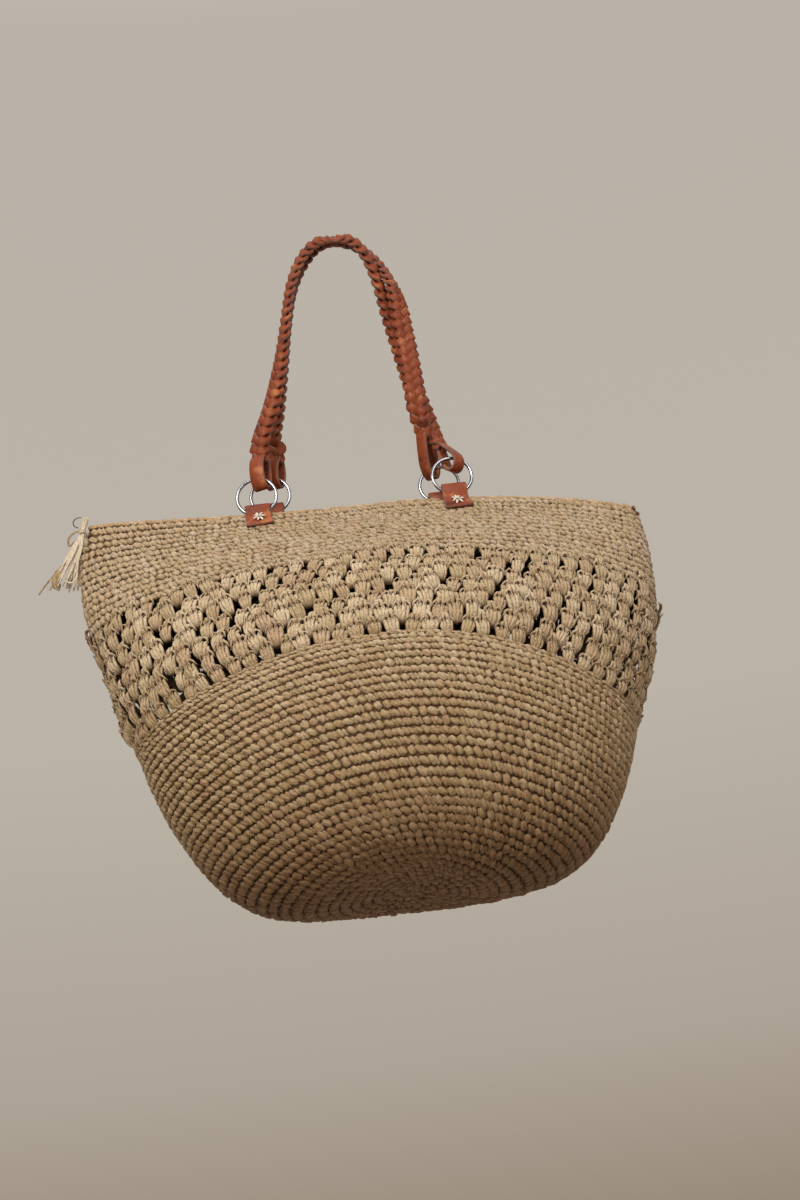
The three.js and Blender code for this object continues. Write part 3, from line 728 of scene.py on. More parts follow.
class Planter:
    """Geometry Nodes that plant a stitch on every point of a carrier mesh."""

    def __init__(self) -> None:
        """Builds the node tree."""
        tree = bpy.data.node_groups.new("plant stitches", "GeometryNodeTree")
        tree.is_modifier = True
        self.tree = tree
        face = tree.interface
        face.new_socket(name="Geometry", in_out="OUTPUT", socket_type="NodeSocketGeometry")
        self.ids = {}
        for name, kind in (
            ("Geometry", "NodeSocketGeometry"),
            ("Stitches", "NodeSocketCollection"),
            ("Kinds", "NodeSocketInt"),
            ("Twist", "NodeSocketFloat"),
            ("Size spread", "NodeSocketFloat"),
            ("Wobble", "NodeSocketFloat"),
            ("Wobble scale", "NodeSocketFloat"),
            ("Seed", "NodeSocketInt"),
            ("Finish", "NodeSocketMaterial"),
        ):
            self.ids[name] = face.new_socket(name=name, in_out="INPUT", socket_type=kind).identifier
        new, link = tree.nodes.new, tree.links.new
        source, sink = new("NodeGroupInput"), new("NodeGroupOutput")

        def named(name: str) -> bpy.types.NodeSocket:
            """A vector attribute of the carrier.

            Args:
                name: The attribute's name.

            Returns:
                Its socket.
            """
            node = new("GeometryNodeInputNamedAttribute")
            node.data_type = "FLOAT_VECTOR"
            node.inputs["Name"].default_value = name
            return node.outputs["Attribute"]

        def math_node(kind: str, a: object, b: object) -> bpy.types.NodeSocket:
            """A sum on single values.

            Args:
                kind: The sum to do.
                a: The first number or its socket.
                b: The second number or its socket.

            Returns:
                The result.
            """
            node = new("ShaderNodeMath")
            node.operation = kind
            for key, value in enumerate((a, b)):
                if isinstance(value, bpy.types.NodeSocket):
                    link(value, node.inputs[key])
                else:
                    node.inputs[key].default_value = value
            return node.outputs[0]

        info = new("GeometryNodeCollectionInfo")
        info.inputs["Separate Children"].default_value = True
        info.inputs["Reset Children"].default_value = True
        link(source.outputs["Stitches"], info.inputs["Collection"])
        kind = new("FunctionNodeRandomValue")
        kind.data_type = "INT"
        link(math_node("SUBTRACT", source.outputs["Kinds"], 1.0), kind.inputs[5])
        link(math_node("ADD", source.outputs["Seed"], 3.0), kind.inputs["Seed"])
        axes = new("FunctionNodeAxesToRotation")
        axes.primary_axis, axes.secondary_axis = "Z", "X"
        link(named("outward"), axes.inputs["Primary Axis"])
        link(named("along"), axes.inputs["Secondary Axis"])
        swing = new("FunctionNodeRandomValue")
        swing.data_type = "FLOAT"
        link(math_node("MULTIPLY", source.outputs["Twist"], -1.0), swing.inputs[2])
        link(source.outputs["Twist"], swing.inputs[3])
        link(source.outputs["Seed"], swing.inputs["Seed"])
        euler = new("ShaderNodeCombineXYZ")
        link(swing.outputs[1], euler.inputs[2])
        link(math_node("MULTIPLY", swing.outputs[1], 0.7), euler.inputs[0])
        spin = new("FunctionNodeEulerToRotation")
        link(euler.outputs[0], spin.inputs[0])
        turned = new("FunctionNodeRotateRotation")
        turned.rotation_space = "LOCAL"
        link(axes.outputs[0], turned.inputs[0])
        link(spin.outputs[0], turned.inputs[1])
        grow = new("FunctionNodeRandomValue")
        grow.data_type = "FLOAT_VECTOR"
        low, high = new("ShaderNodeCombineXYZ"), new("ShaderNodeCombineXYZ")
        for axis in range(3):
            link(math_node("SUBTRACT", 1.0, source.outputs["Size spread"]), low.inputs[axis])
            link(math_node("ADD", 1.0, source.outputs["Size spread"]), high.inputs[axis])
        link(low.outputs[0], grow.inputs[0])
        link(high.outputs[0], grow.inputs[1])
        link(math_node("ADD", source.outputs["Seed"], 1.0), grow.inputs["Seed"])
        size = new("ShaderNodeVectorMath")
        size.operation = "MULTIPLY"
        link(named("size"), size.inputs[0])
        link(grow.outputs[0], size.inputs[1])
        plant = new("GeometryNodeInstanceOnPoints")
        link(source.outputs["Geometry"], plant.inputs["Points"])
        link(info.outputs["Instances"], plant.inputs["Instance"])
        plant.inputs["Pick Instance"].default_value = True
        link(kind.outputs[2], plant.inputs["Instance Index"])
        link(turned.outputs[0], plant.inputs["Rotation"])
        link(size.outputs[0], plant.inputs["Scale"])
        shade = new("FunctionNodeRandomValue")
        shade.data_type = "FLOAT"
        link(math_node("ADD", source.outputs["Seed"], 2.0), shade.inputs["Seed"])
        tint = new("GeometryNodeStoreNamedAttribute")
        tint.data_type, tint.domain = "FLOAT", "INSTANCE"
        tint.inputs["Name"].default_value = "tint"
        link(plant.outputs[0], tint.inputs["Geometry"])
        link(shade.outputs[1], tint.inputs["Value"])
        real = new("GeometryNodeRealizeInstances")
        link(tint.outputs[0], real.inputs[0])
        noise = new("ShaderNodeTexNoise")
        noise.inputs["Detail"].default_value = 2.0
        link(source.outputs["Wobble scale"], noise.inputs["Scale"])
        centred = new("ShaderNodeVectorMath")
        centred.operation = "SUBTRACT"
        centred.inputs[1].default_value = (0.5, 0.5, 0.5)
        link(noise.outputs["Color"], centred.inputs[0])
        offset = new("ShaderNodeVectorMath")
        offset.operation = "SCALE"
        link(centred.outputs[0], offset.inputs[0])
        link(source.outputs["Wobble"], offset.inputs["Scale"])
        shift = new("GeometryNodeSetPosition")
        link(real.outputs[0], shift.inputs["Geometry"])
        link(offset.outputs[0], shift.inputs["Offset"])
        smooth = new("GeometryNodeSetShadeSmooth")
        link(shift.outputs[0], smooth.inputs["Geometry"])
        paint = new("GeometryNodeSetMaterial")
        link(smooth.outputs[0], paint.inputs["Geometry"])
        link(source.outputs["Finish"], paint.inputs["Material"])
        link(paint.outputs[0], sink.inputs[0])

    def grow(
        self, name: str, carrier: bpy.types.Object, stitches: bpy.types.Collection, finish: bpy.types.Material, **sizes: float
    ) -> bpy.types.Object:
        """Plants stitches and returns them as one plain mesh.

        Args:
            name: The piece's name.
            carrier: A mesh of points with their directions and sizes.
            stitches: The stitches to choose from.
            finish: The material of the whole piece.
            sizes: Values for the tree's named inputs, with underscores for spaces.

        Returns:
            The new piece, at the origin. The carrier is removed.
        """
        values = {"Stitches": stitches, "Kinds": len(stitches.objects), "Finish": finish}
        values.update({key.replace("_", " ").capitalize(): value for key, value in sizes.items()})
        modifier = carrier.modifiers.new("plant", "NODES")
        modifier.node_group = self.tree
        for key, value in values.items():
            modifier[self.ids[key]] = value
        carrier.update_tag()
        graph = bpy.context.evaluated_depsgraph_get()
        grown = carrier.evaluated_get(graph)
        mesh = bpy.data.meshes.new_from_object(grown, preserve_all_data_layers=True, depsgraph=graph)
        old = carrier.data
        bpy.data.objects.remove(carrier)
        bpy.data.meshes.remove(old)
        mesh.name = name
        return put(name, mesh)


def pattern_set(name: str, patterns: list) -> bpy.types.Collection:
    """A collection that holds one object for each pattern mesh.

    Args:
        name: The collection's name.
        patterns: The patterns' mesh data.

    Returns:
        The collection.
    """
    group = bpy.data.collections.new(name)
    bpy.context.scene.collection.children.link(group)
    for n, data in enumerate(patterns):
        group.objects.link(bpy.data.objects.new(f"{name}_{n}", data.mesh(f"{name}_{n}")))
    return group


def drop_patterns(group: bpy.types.Collection) -> None:
    """Removes a pattern collection with its objects.

    Args:
        group: The collection.
    """
    for obj in list(group.objects):
        mesh = obj.data
        bpy.data.objects.remove(obj)
        bpy.data.meshes.remove(mesh)
    bpy.data.collections.remove(group)


@dataclass
class Crochet:
    """The bag's crocheted wall: closed rounds of single stitches and a band of open fans."""

    form: BagForm
    planter: Planter
    finish: bpy.types.Material
    core_shade_finish: bpy.types.Material
    rim_finish: bpy.types.Material
    fan_finish: bpy.types.Material
    band_finish: bpy.types.Material
    stitch_pitch: float = 5.9 * MM
    row_pitch: float = 6.4 * MM
    slant: float = math.radians(34)
    fans_round: int = 74
    fan_rows: int = 6
    fan_pitch: float = 12.1 * MM
    fan_rise: float = 17.2 * MM
    core_half: float = 0.5 * MM

    def lump(self, plies: tuple) -> MeshData:
        """One closed stitch: short fat plies laid slantwise over their round.

        Args:
            plies: For each ply, its shift along the round, half-length, half-width, half-depth, lift and
                how much more it slants than the stitch does.

        Returns:
            The stitch, about its own middle.
        """
        data = MeshData()
        for shift, length, width, depth, lift, more in plies:
            s = np.array([-0.97, -0.66, 0.0, 0.66, 0.97])
            swell = (1 - np.abs(s) ** 3.6) ** (1 / 3.6)
            turn = self.slant + more
            path = np.outer(s * length * MM, (-math.sin(turn), math.cos(turn), 0.0))
            path[:, 0] += shift * MM
            path[:, 2] += lift * MM
            strand(data, path, (0, 0, 1), swell * width * MM, swell * depth * MM, 6, 3.2)
        return data

    def lumps(self) -> list:
        """The kinds of closed stitch."""
        return [
            self.lump(((-1.3, 3.5, 1.9, 2.5, 0.45, 0.1), (1.7, 3.3, 1.6, 2.2, 0.1, 0.0))),
            self.lump(((-0.8, 3.6, 2.3, 2.6, 0.4, 0.2), (2.1, 3.4, 1.4, 2.1, 0.2, 0.1))),
            self.lump(((-1.9, 3.2, 1.4, 2.0, 0.1, -0.1), (0.9, 3.7, 2.2, 2.7, 0.4, 0.2))),
            self.lump(((0.0, 3.4, 3.0, 2.5, 0.3, 0.05),)),
            self.lump(((0.3, 3.8, 2.7, 2.8, 0.2, 0.3),)),
        ]

    def carrier(self, name: str, rounds: list, back_fill: float = 1.0) -> bpy.types.Object:
        """A mesh of points along rounds.

        Args:
            name: Its name.
            rounds: For each round, where it is, how many stitches it has, where its first one is as a
                share of their spacing, and its stitches' size along it, up the wall and outward.
            back_fill: How much wider the stitches are on the flat back, which is pressed closed.

        Returns:
            The carrier, each point with its directions and its stitch's size.
        """
        points, along, outward, size = [], [], [], []
        for at, count, start, scale in rounds:
            p, a, _, o = self.form.even(at, self.form.wall / 2, count, start)
            points.append(p)
            along.append(a)
            outward.append(o)
            size.append(np.where(o[:, 1:2] > 0.3, (back_fill, 1.0, 1.0), (1.0, 1.0, 1.0)) * scale)
        mesh = bpy.data.meshes.new(name)
        mesh.from_pydata(np.concatenate(points).tolist(), [], [])
        for key, values in (("along", along), ("outward", outward), ("size", size)):
            layer = mesh.attributes.new(key, "FLOAT_VECTOR", "POINT")
            layer.data.foreach_set("vector", np.concatenate(values).astype(np.float32).ravel())
        return put(name, mesh)

    def closed_zone(self, zone: Zone, stitches: bpy.types.Collection, seed: int) -> bpy.types.Object:
        """The closed rounds of one zone.

        Args:
            zone: The zone.
            stitches: The kinds of stitch.
            seed: For the choice, turn and size of each stitch.

        Returns:
            The zone's piece.
        """
        name, first, after = zone.value
        random = np.random.default_rng(seed)
        rounds = []
        for n in range(first, after):
            low, at, high = (place_of_round(n + share) for share in (0.0, 0.5, 1.0))
            pitch = self.form.rise(low, high)
            girth = self.form.girth(at, self.form.wall / 2)
            count = max(6, round(girth / self.stitch_pitch))
            scale = (girth / count / self.stitch_pitch, pitch / self.row_pitch, min(1.0, 0.35 + 0.65 * pitch / self.row_pitch))
            rounds.append((at, count, random.random(), scale))
        carrier = self.carrier(f"{name}_points", rounds)
        finish = self.band_finish if zone in (Zone.LOWER_BAND, Zone.UPPER_BAND) else self.finish
        return self.planter.grow(
            name, carrier, stitches, finish, twist=0.19, size_spread=0.13, wobble=2.0 * MM, wobble_scale=430.0, seed=seed
        )

    def fan(self, lean: float, puff: float, seed: int) -> MeshData:
        """One open fan: fat petals that swell outward from one hole, their tops curled over into loops.

        Args:
            lean: How far the petals' tops shift along the round.
            puff: How fat the petals are, about 1.
            seed: For the loose wisps.

        Returns:
            The fan, its foot at the origin.
        """
        data = MeshData()
        random = np.random.default_rng(seed)

        def ply(points: tuple, widths: tuple, depths: tuple, count: int, sides: int = 6) -> None:
            """Adds one ply through points in millimetres, with its width and depth along it.

            Args:
                points: The points.
                widths: Half its width, evenly along it.
                depths: Half its depth, evenly along it.
                count: How many rings it has.
                sides: How many sides its section has.
            """
            share = np.linspace(0, 1, count)
            wide = np.interp(share, np.linspace(0, 1, len(widths)), widths) * MM
            deep = np.interp(share, np.linspace(0, 1, len(depths)), depths) * MM
            strand(data, bezier_path(points, count) * MM, (0, 0, 1), wide, deep, sides)

        for side in (-1, 1):
            near, far = side * 1.25 + lean * 0.6, side * 3.35 + lean * 0.6
            splay = side * random.uniform(-0.8, 2.2)
            ply(
                (
                    (side * 1.1, -0.2, -3.6),
                    (side * 2.1, 1.8, -0.2),
                    (far, 5.8, 2.2),
                    (far + splay * 0.4, 10.4, 2.8),
                    (far + splay - side * 0.4, 15.0, -0.4),
                ),
                (1.1, 1.7 * puff, 2.0 * puff, 1.6, 0.6),
                (0.9, 1.4, 1.5 * puff, 1.2, 0.6),
                6,
            )
            ply(
                (
                    (side * 0.5, -0.4, -3.2),
                    (side * 0.9, 2.0, 1.2),
                    (near, 6.6, 3.8),
                    (near + lean * 0.3, 11.6, 3.4),
                    (near + splay * 0.5, 15.8, -0.2),
                ),
                (1.2, 1.6 * puff, 1.6 * puff, 1.35, 0.7),
                (0.9, 1.4, 1.5 * puff, 1.1, 0.6),
                6,
            )
            ply(
                (
                    (near, 11.6, 2.8),
                    (side * 2.2 + lean, 15.4, 4.6),
                    (side * 4.6 + lean + splay * 0.4, 14.6, 3.9),
                    (side * 5.4 + splay * 0.3, 10.4, 1.0),
                ),
                (0.6, 1.1, 1.05, 0.5),
                (0.5, 0.7, 0.7, 0.4),
                5,
                5,
            )
            ply(
                (
                    (side * 1.4, 12.8, 0.8),
                    (side * 1.6 + lean * 0.5, 17.4, 2.3),
                    (side * 1.1 - lean, 21.2, 2.0),
                    (side * -0.8, 23.4, -1.2),
                ),
                (0.9, 1.7, 1.6, 0.7),
                (0.7, 1.1, 1.0, 0.5),
                5,
                5,
            )
            wisp = random.uniform(-1.0, 1.0, 4)
            ply(
                (
                    (side * 1.2, 4.5, 3.0),
                    (side * 1.8 + wisp[0], 9.6, 4.8),
                    (side * 2.7 + wisp[1], 14.0 + wisp[2], 4.1),
                    (side * 3.2 + wisp[3], 17.0, 1.6),
                ),
                (0.3, 0.6, 0.6, 0.25),
                (0.25, 0.4, 0.4, 0.25),
                5,
                4,
            )
        return data

    def openwork(self) -> list:
        """The band of open fans, each round half a fan on from the last, above one round of short ones.

        Returns:
            The band's pieces, low and high.
        """
        fans = pattern_set(
            "fan_pattern", [self.fan(0.0, 1.0, 1), self.fan(0.7, 1.1, 2), self.fan(-0.6, 0.94, 3), self.fan(-0.2, 1.05, 4)]
        )
        step = 1 / (self.fan_rows + 0.5)
        places = [(0.99, 0.62)] + [(1.0 + (r + 0.46) * step, 1.0) for r in range(self.fan_rows)]
        pieces = []
        for name, first, after in (("straw_openwork_low", 0, 4), ("straw_openwork_high", 4, 7)):
            rounds = []
            for n in range(first, after):
                at, tall = places[n]
                pitch = self.form.rise(at, at + step)
                girth = self.form.girth(at, self.form.wall / 2)
                scale = (girth / self.fans_round / self.fan_pitch, tall * pitch / self.fan_rise, 0.62 + 0.2 * tall)
                rounds.append((at, self.fans_round, 0.5 * (n % 2) + 0.13, scale))
            carrier = self.carrier(f"{name}_points", rounds, 1.16)
            pieces.append(
                self.planter.grow(
                    name, carrier, fans, self.fan_finish, twist=0.24, size_spread=0.15, wobble=2.1 * MM, wobble_scale=300.0, seed=71 + first
                )
            )
        drop_patterns(fans)
        return pieces

    def core(self, name: str, low: float, high: float) -> bpy.types.Object:
        """The straw ply that the closed rounds are worked round, closed in itself. Its dark colour, seen in the gaps
        between stitches, is painted shade.

        Args:
            name: The piece's name.
            low: The round where it starts.
            high: The round where it ends.

        Returns:
            The piece.
        """
        columns, levels = 144, max(8, round((high - low) * 24))
        rounds = np.linspace(max(low, 0.01), high, levels + 1)
        angles = np.linspace(0, 2 * math.pi, columns + 1)[:-1]
        middle = self.form.wall / 2
        skins = [[self.form.loop(r, angles, middle + side * self.core_half) for r in rounds] for side in (-1, 1)]
        points = [p for skin in skins for level in skin for p in level]
        faces = []
        at = lambda skin, r, k: skin * (levels + 1) * columns + r * columns + k % columns
        for k in range(columns):
            for r in range(levels):
                faces.append((at(0, r, k), at(0, r, k + 1), at(0, r + 1, k + 1), at(0, r + 1, k)))
                faces.append((at(1, r, k), at(1, r + 1, k), at(1, r + 1, k + 1), at(1, r, k + 1)))
            faces.append((at(0, levels, k), at(0, levels, k + 1), at(1, levels, k + 1), at(1, levels, k)))
            if low > 0:
                faces.append((at(0, 0, k + 1), at(0, 0, k), at(1, 0, k), at(1, 0, k + 1)))
        if low <= 0:
            faces.append(tuple(at(0, 0, k) for k in reversed(range(columns))))
            faces.append(tuple(at(1, 0, k) for k in range(columns)))
        data = MeshData()
        count = len(points)
        data.add(np.asarray(points), faces, np.zeros((count, 2)), np.ones(count))
        return put(name, data.mesh(name), self.core_shade_finish)

    def rim(self, keep_off: list) -> bpy.types.Object:
        """The finishing round along the rim, left out under the leather tabs.

        Args:
            keep_off: For each tab, its x, which wall it is on and half its width.

        Returns:
            The finishing round.
        """
        lump = self.lump(((0.0, 4.4, 1.9, 1.9, 0.0, 0.65),))
        stitches = pattern_set("rim_pattern", [lump, self.lump(((0.3, 3.9, 1.6, 1.8, 0.1, 0.75),))])
        girth = self.form.girth(3.0, self.form.wall / 2)
        count = round(girth / (6.4 * MM))
        p, a, u, o = self.form.even(3.0, self.form.wall / 2, count, 0.0)
        middle = (self.form.reaches(3.0)["back"] - self.form.reaches(3.0)["front"]) / 2
        keep = np.ones(count, bool)
        for x, side, half in keep_off:
            keep &= ~((np.abs(p[:, 0] - x) < half) & (np.sign(p[:, 1] - middle) == side))
        p, a, u, o = (v[keep] for v in (p + u * 0.9 * MM, a, u, o))
        mesh = bpy.data.meshes.new("straw_rim_points")
        mesh.from_pydata(p.tolist(), [], [])
        for key, values in (("along", a), ("outward", o), ("size", np.ones_like(p))):
            layer = mesh.attributes.new(key, "FLOAT_VECTOR", "POINT")
            layer.data.foreach_set("vector", values.astype(np.float32).ravel())
        carrier = put("straw_rim_points", mesh)
        piece = self.planter.grow(
            "straw_rim", carrier, stitches, self.rim_finish, twist=0.2, size_spread=0.14, wobble=1.5 * MM, wobble_scale=380.0, seed=5
        )
        drop_patterns(stitches)
        return piece

    def build(self, keep_off: list) -> list:
        """Every piece of the wall."""
        stitches = pattern_set("stitch_pattern", self.lumps())
        pieces = [self.closed_zone(zone, stitches, 11 + 7 * n) for n, zone in enumerate(Zone)]
        drop_patterns(stitches)
        pieces.extend(self.openwork())
        pieces.append(self.rim(keep_off))
        pieces.append(self.core("straw_bottom_core", 0.0, 0.995))
        pieces.append(self.core("straw_top_core", 1.985, 2.985))
        for piece in pieces:
            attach(piece, "root")
            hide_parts("basket_body")
        return pieces


# Leather, rings and tassel


@dataclass(frozen=True)
class Seat:
    """Where one ring sits on the rim, and how its strap loop hangs.

    Shifts are shares of the ring's or the loop's size, turns are in degrees and lifts and widths in
    millimetres. Roundness runs from 0 for a teardrop to 1 for an oval.
    """

    name: str
    x: float
    side: int
    lift: float
    ring_turn: float
    loop_turn: float
    along: float
    slack: float
    length: float
    right: float
    back: float
    strap_width: float
    roundness: float


SEATS = (
    Seat("front_left", -0.391, -1, 0, -5, -25, 0.3, 0.2, 1.05, 0.02, 0.02, 12.0, 1.0),
    Seat("front_right", 0.33, -1, 4, 5, 42, 0.16, 0.28, 1.2, -0.32, 0.44, 10.0, 0.25),
    Seat("back_left", -0.345, 1, 3, -5, -24, 0.3, 0.2, 1.0, 0.1, -0.02, 12.0, 0.8),
    Seat("back_right", 0.286, 1, 0, -5, -42, -0.3, 0.18, 1.45, -0.13, -0.48, 9.5, 0.45),
)

FRONT_RUN = (
    (-0.735, -0.985, -0.9, 42),
    (-0.64, -0.86, -1, 42),
    (-0.46, -0.7, -0.95, 62),
    (-0.3, -0.595, -0.9, 80),
    (-0.17, -0.5, -0.85, 76),
    (-0.07, -0.36, -0.8, 66),
    (-0.012, -0.18, -0.75, 58),
    (-0.006, 0, -0.75, 56),
    (-0.018, 0.19, -0.8, 58),
    (-0.08, 0.34, -0.65, 66),
    (-0.18, 0.44, -0.05, 70),
    (-0.29, 0.52, 0.5, 45),
    (-0.42, 0.6, 0.8, 20),
    (-0.58, 0.68, 0.88, 18),
    (-0.69, 0.76, 0.86, 26),
)

BACK_RUN = (
    (-0.72, -0.87, 1.08, 62),
    (-0.62, -0.8, 1.02, 70),
    (-0.46, -0.7, 0.95, 78),
    (-0.3, -0.615, 0.9, 80),
    (-0.165, -0.52, 0.85, 76),
    (-0.06, -0.375, 0.8, 66),
    (0.012, -0.18, 0.75, 58),
    (0.024, 0, 0.75, 56),
    (0.012, 0.2, 0.8, 58),
    (-0.05, 0.4, 0.75, 66),
    (-0.18, 0.57, 0, 70),
    (-0.29, 0.62, -0.7, 35),
    (-0.42, 0.635, -0.85, 6),
    (-0.58, 0.655, -0.88, 0),
    (-0.68, 0.66, -0.78, -8),
)


@dataclass
class Hardware:
    """The rings and the leather that holds them: strap loops above, tabs over the rim below."""

    form: BagForm
    leather: bpy.types.Material
    metal: bpy.types.Material
    thread: bpy.types.Material
    ring_diameter: float = 33 * MM
    ring_wire: float = 2.6 * MM
    tab_width: float = 20 * MM
    tab_outside: float = 18.5 * MM
    tab_inside: float = 12 * MM
    tab_fold: float = 3.4 * MM
    tab_leather: float = 2 * MM
    tab_lift: float = 0.5 * MM
    loop_strap: float = 2.4 * MM
    loop_width: float = 15 * MM
    loop_length: float = 27 * MM
    clearance: float = 0.5 * MM
    star_rays: int = 7
    star_across: float = 5.4 * MM
    star_tall: float = 8.2 * MM

    def wall_point(self, at: float, inset: float, x: float, side: int) -> Array:
        """A point of the wall at x, on the front (side -1) or the back (side 1).

        Args:
            at: The round.
            inset: How far inside the outer skin.
            x: Where along the bag.
            side: Which wall.

        Returns:
            The point.
        """
        s = self.form.section(at, inset)
        share = abs(x / (s["right"] if x > 0 else s["left"])) ** (self.form.squareness / 2)
        return self.form.loop(at, np.array([side * math.acos(math.copysign(share, x))]), inset)[0]

    def step_down(self, x: float, side: int, length: float) -> float:
        """How far down the rounds a strip reaches that hangs `length` below the rim.

        Args:
            x: Where along the bag.
            side: Which wall.
            length: How far it hangs, along the wall.

        Returns:
            The share of rounds from the rim down.
        """
        step, gone = 0.0, 0.0
        last = self.wall_point(3, 0, x, side)
        while gone < length:
            step += 0.01
            here = self.wall_point(3 - step, 0, x, side)
            gone += float(np.linalg.norm(here - last))
            last = here
        return step

    def seat(self, ring: Seat) -> dict:
        """The ring's place on the rim.

        Args:
            ring: The ring.

        Returns:
            Its point on the rim, the ways along and out of it, the tab's top, and the ring's radius and centre.
        """
        x = ring.x * self.form.mouth_width / 2
        rim = self.wall_point(3, self.form.wall / 2, x, ring.side)
        ends = [self.wall_point(3, 0, x + edge * self.tab_width / 2, ring.side) for edge in (-1, 1)]
        radius = (self.ring_diameter - self.ring_wire) / 2
        sag = radius - math.sqrt(radius**2 - (self.tab_width / 2) ** 2)
        low = rim[2] + self.clearance + self.ring_wire / 2 + ring.lift * MM
        along = unit((ends[1] - ends[0]) * (1, 1, 0))
        return {
            "rim": rim,
            "along": along,
            "out": np.array([along[1], -along[0], 0.0]) * -ring.side,
            "fold_top": low + sag + self.ring_wire / 2 + self.clearance + self.tab_fold * 0.25 + self.tab_leather,
            "radius": radius,
            "centre": np.array([rim[0], rim[1], low + radius]),
        }

    def loop_pose(self, ring: Seat) -> dict:
        """The strap loop's foot, the way it leans, its length and its top.

        Args:
            ring: The ring it hangs from.

        Returns:
            Those, and the axes the loop is drawn on.
        """
        place = self.seat(ring)
        offset = ring.along * place["radius"]
        turn = math.radians(ring.ring_turn)
        sag = ring.slack * self.loop_length
        up = math.sqrt(place["radius"] ** 2 - offset**2) - self.ring_wire / 2 - sag - self.loop_strap
        foot = place["centre"] + (offset * math.cos(turn), offset * math.sin(turn), up)
        foot = foot - (ring.right * sag, ring.back * sag, 0)
        lean = unit(np.array([ring.right, ring.back, 1.0]))
        length = ring.length * self.loop_length
        turn = math.radians(ring.loop_turn)
        axis = np.cross((0, 0, 1), lean)
        cosine = lean[2]
        skew = np.array([[0, -axis[2], axis[1]], [axis[2], 0, -axis[0]], [-axis[1], axis[0], 0]])
        tilt = np.eye(3) + skew + skew @ skew / (1 + cosine)
        spin = np.array([[math.cos(turn), -math.sin(turn), 0], [math.sin(turn), math.cos(turn), 0], [0, 0, 1]])
        top = foot + lean * (length + 2 * self.clearance)
        return {"foot": foot, "lean": lean, "length": length, "top": top, "axes": tilt @ spin}

    def ring(self, ring: Seat) -> bpy.types.Object:
        """One round wire ring.

        Args:
            ring: Which ring.

        Returns:
            The piece.
        """
        place = self.seat(ring)
        turn = math.radians(ring.ring_turn)
        side = np.array([math.cos(turn), math.sin(turn), 0.0])
        steps, sides = 72, 14
        a = 2 * math.pi * np.arange(steps) / steps
        b = 2 * math.pi * np.arange(sides) / sides
        radial = np.outer(np.cos(a), side) + np.outer(np.sin(a), (0, 0, 1))
        axis = np.cross(side, (0, 0, 1))
        points = (
            place["centre"]
            + radial[:, None, :] * (place["radius"] + np.cos(b) * self.ring_wire / 2)[None, :, None]
            + axis * (np.sin(b) * self.ring_wire / 2)[None, :, None]
        )
        faces = []
        for r in range(steps):
            n = (r + 1) % steps
            for k in range(sides):
                m = (k + 1) % sides
                faces.append((r * sides + k, r * sides + m, n * sides + m, n * sides + k))
        data = MeshData()
        count = steps * sides
        data.add(points.reshape(-1, 3), faces, np.zeros((count, 2)), np.ones(count))
        return self.fit(data, f"{ring.name}_hoop", self.metal, f"{ring.name}_ring")

    def loop(self, ring: Seat) -> bpy.types.Object:
        """One strap folded into a teardrop round its ring.

        Args:
            ring: Which ring.

        Returns:
            The piece.
        """
        pose = self.loop_pose(ring)
        half = self.loop_strap / 2
        radius = self.loop_width / 2 - half
        centre = self.loop_width / 2
        top_half = half + self.clearance / 2
        reach = pose["length"] * 0.93 - centre
        tangent = math.asin(min(0.95, (radius - top_half) / reach))
        turns = np.linspace(math.pi - tangent, 2 * math.pi + tangent, 23)
        arc = np.stack([radius * np.cos(turns), centre + radius * np.sin(turns)], -1)
        top = pose["length"]
        legs = np.linspace(0, 1, 6)[1:, None]
        left_leg = arc[0] + (np.array([-top_half, top]) - arc[0]) * legs
        right_leg = arc[-1] + (np.array([top_half, top]) - arc[-1]) * legs
        flat = np.concatenate([left_leg[::-1], arc, right_leg])
        share = np.linspace(0, 2 * math.pi, len(flat) + 2)[1:-1]
        oval = np.stack([-radius * np.sin(share), half + (top - half) * (0.5 + 0.5 * np.cos(share))], -1)
        flat = flat * (1 - ring.roundness) + oval * ring.roundness
        away = np.gradient(flat, axis=0)
        local = np.stack([np.zeros(len(flat)), flat[:, 0], flat[:, 1]], -1)
        face = np.stack([np.zeros(len(flat)), away[:, 1], -away[:, 0]], -1)
        axes = pose["axes"]
        data = MeshData()
        strap(data, pose["foot"] + local @ axes.T, face @ axes.T, ring.strap_width * MM / 2, half)
        return self.fit(data, f"{ring.name}_loop", self.leather, f"{ring.name}_strap_loop")

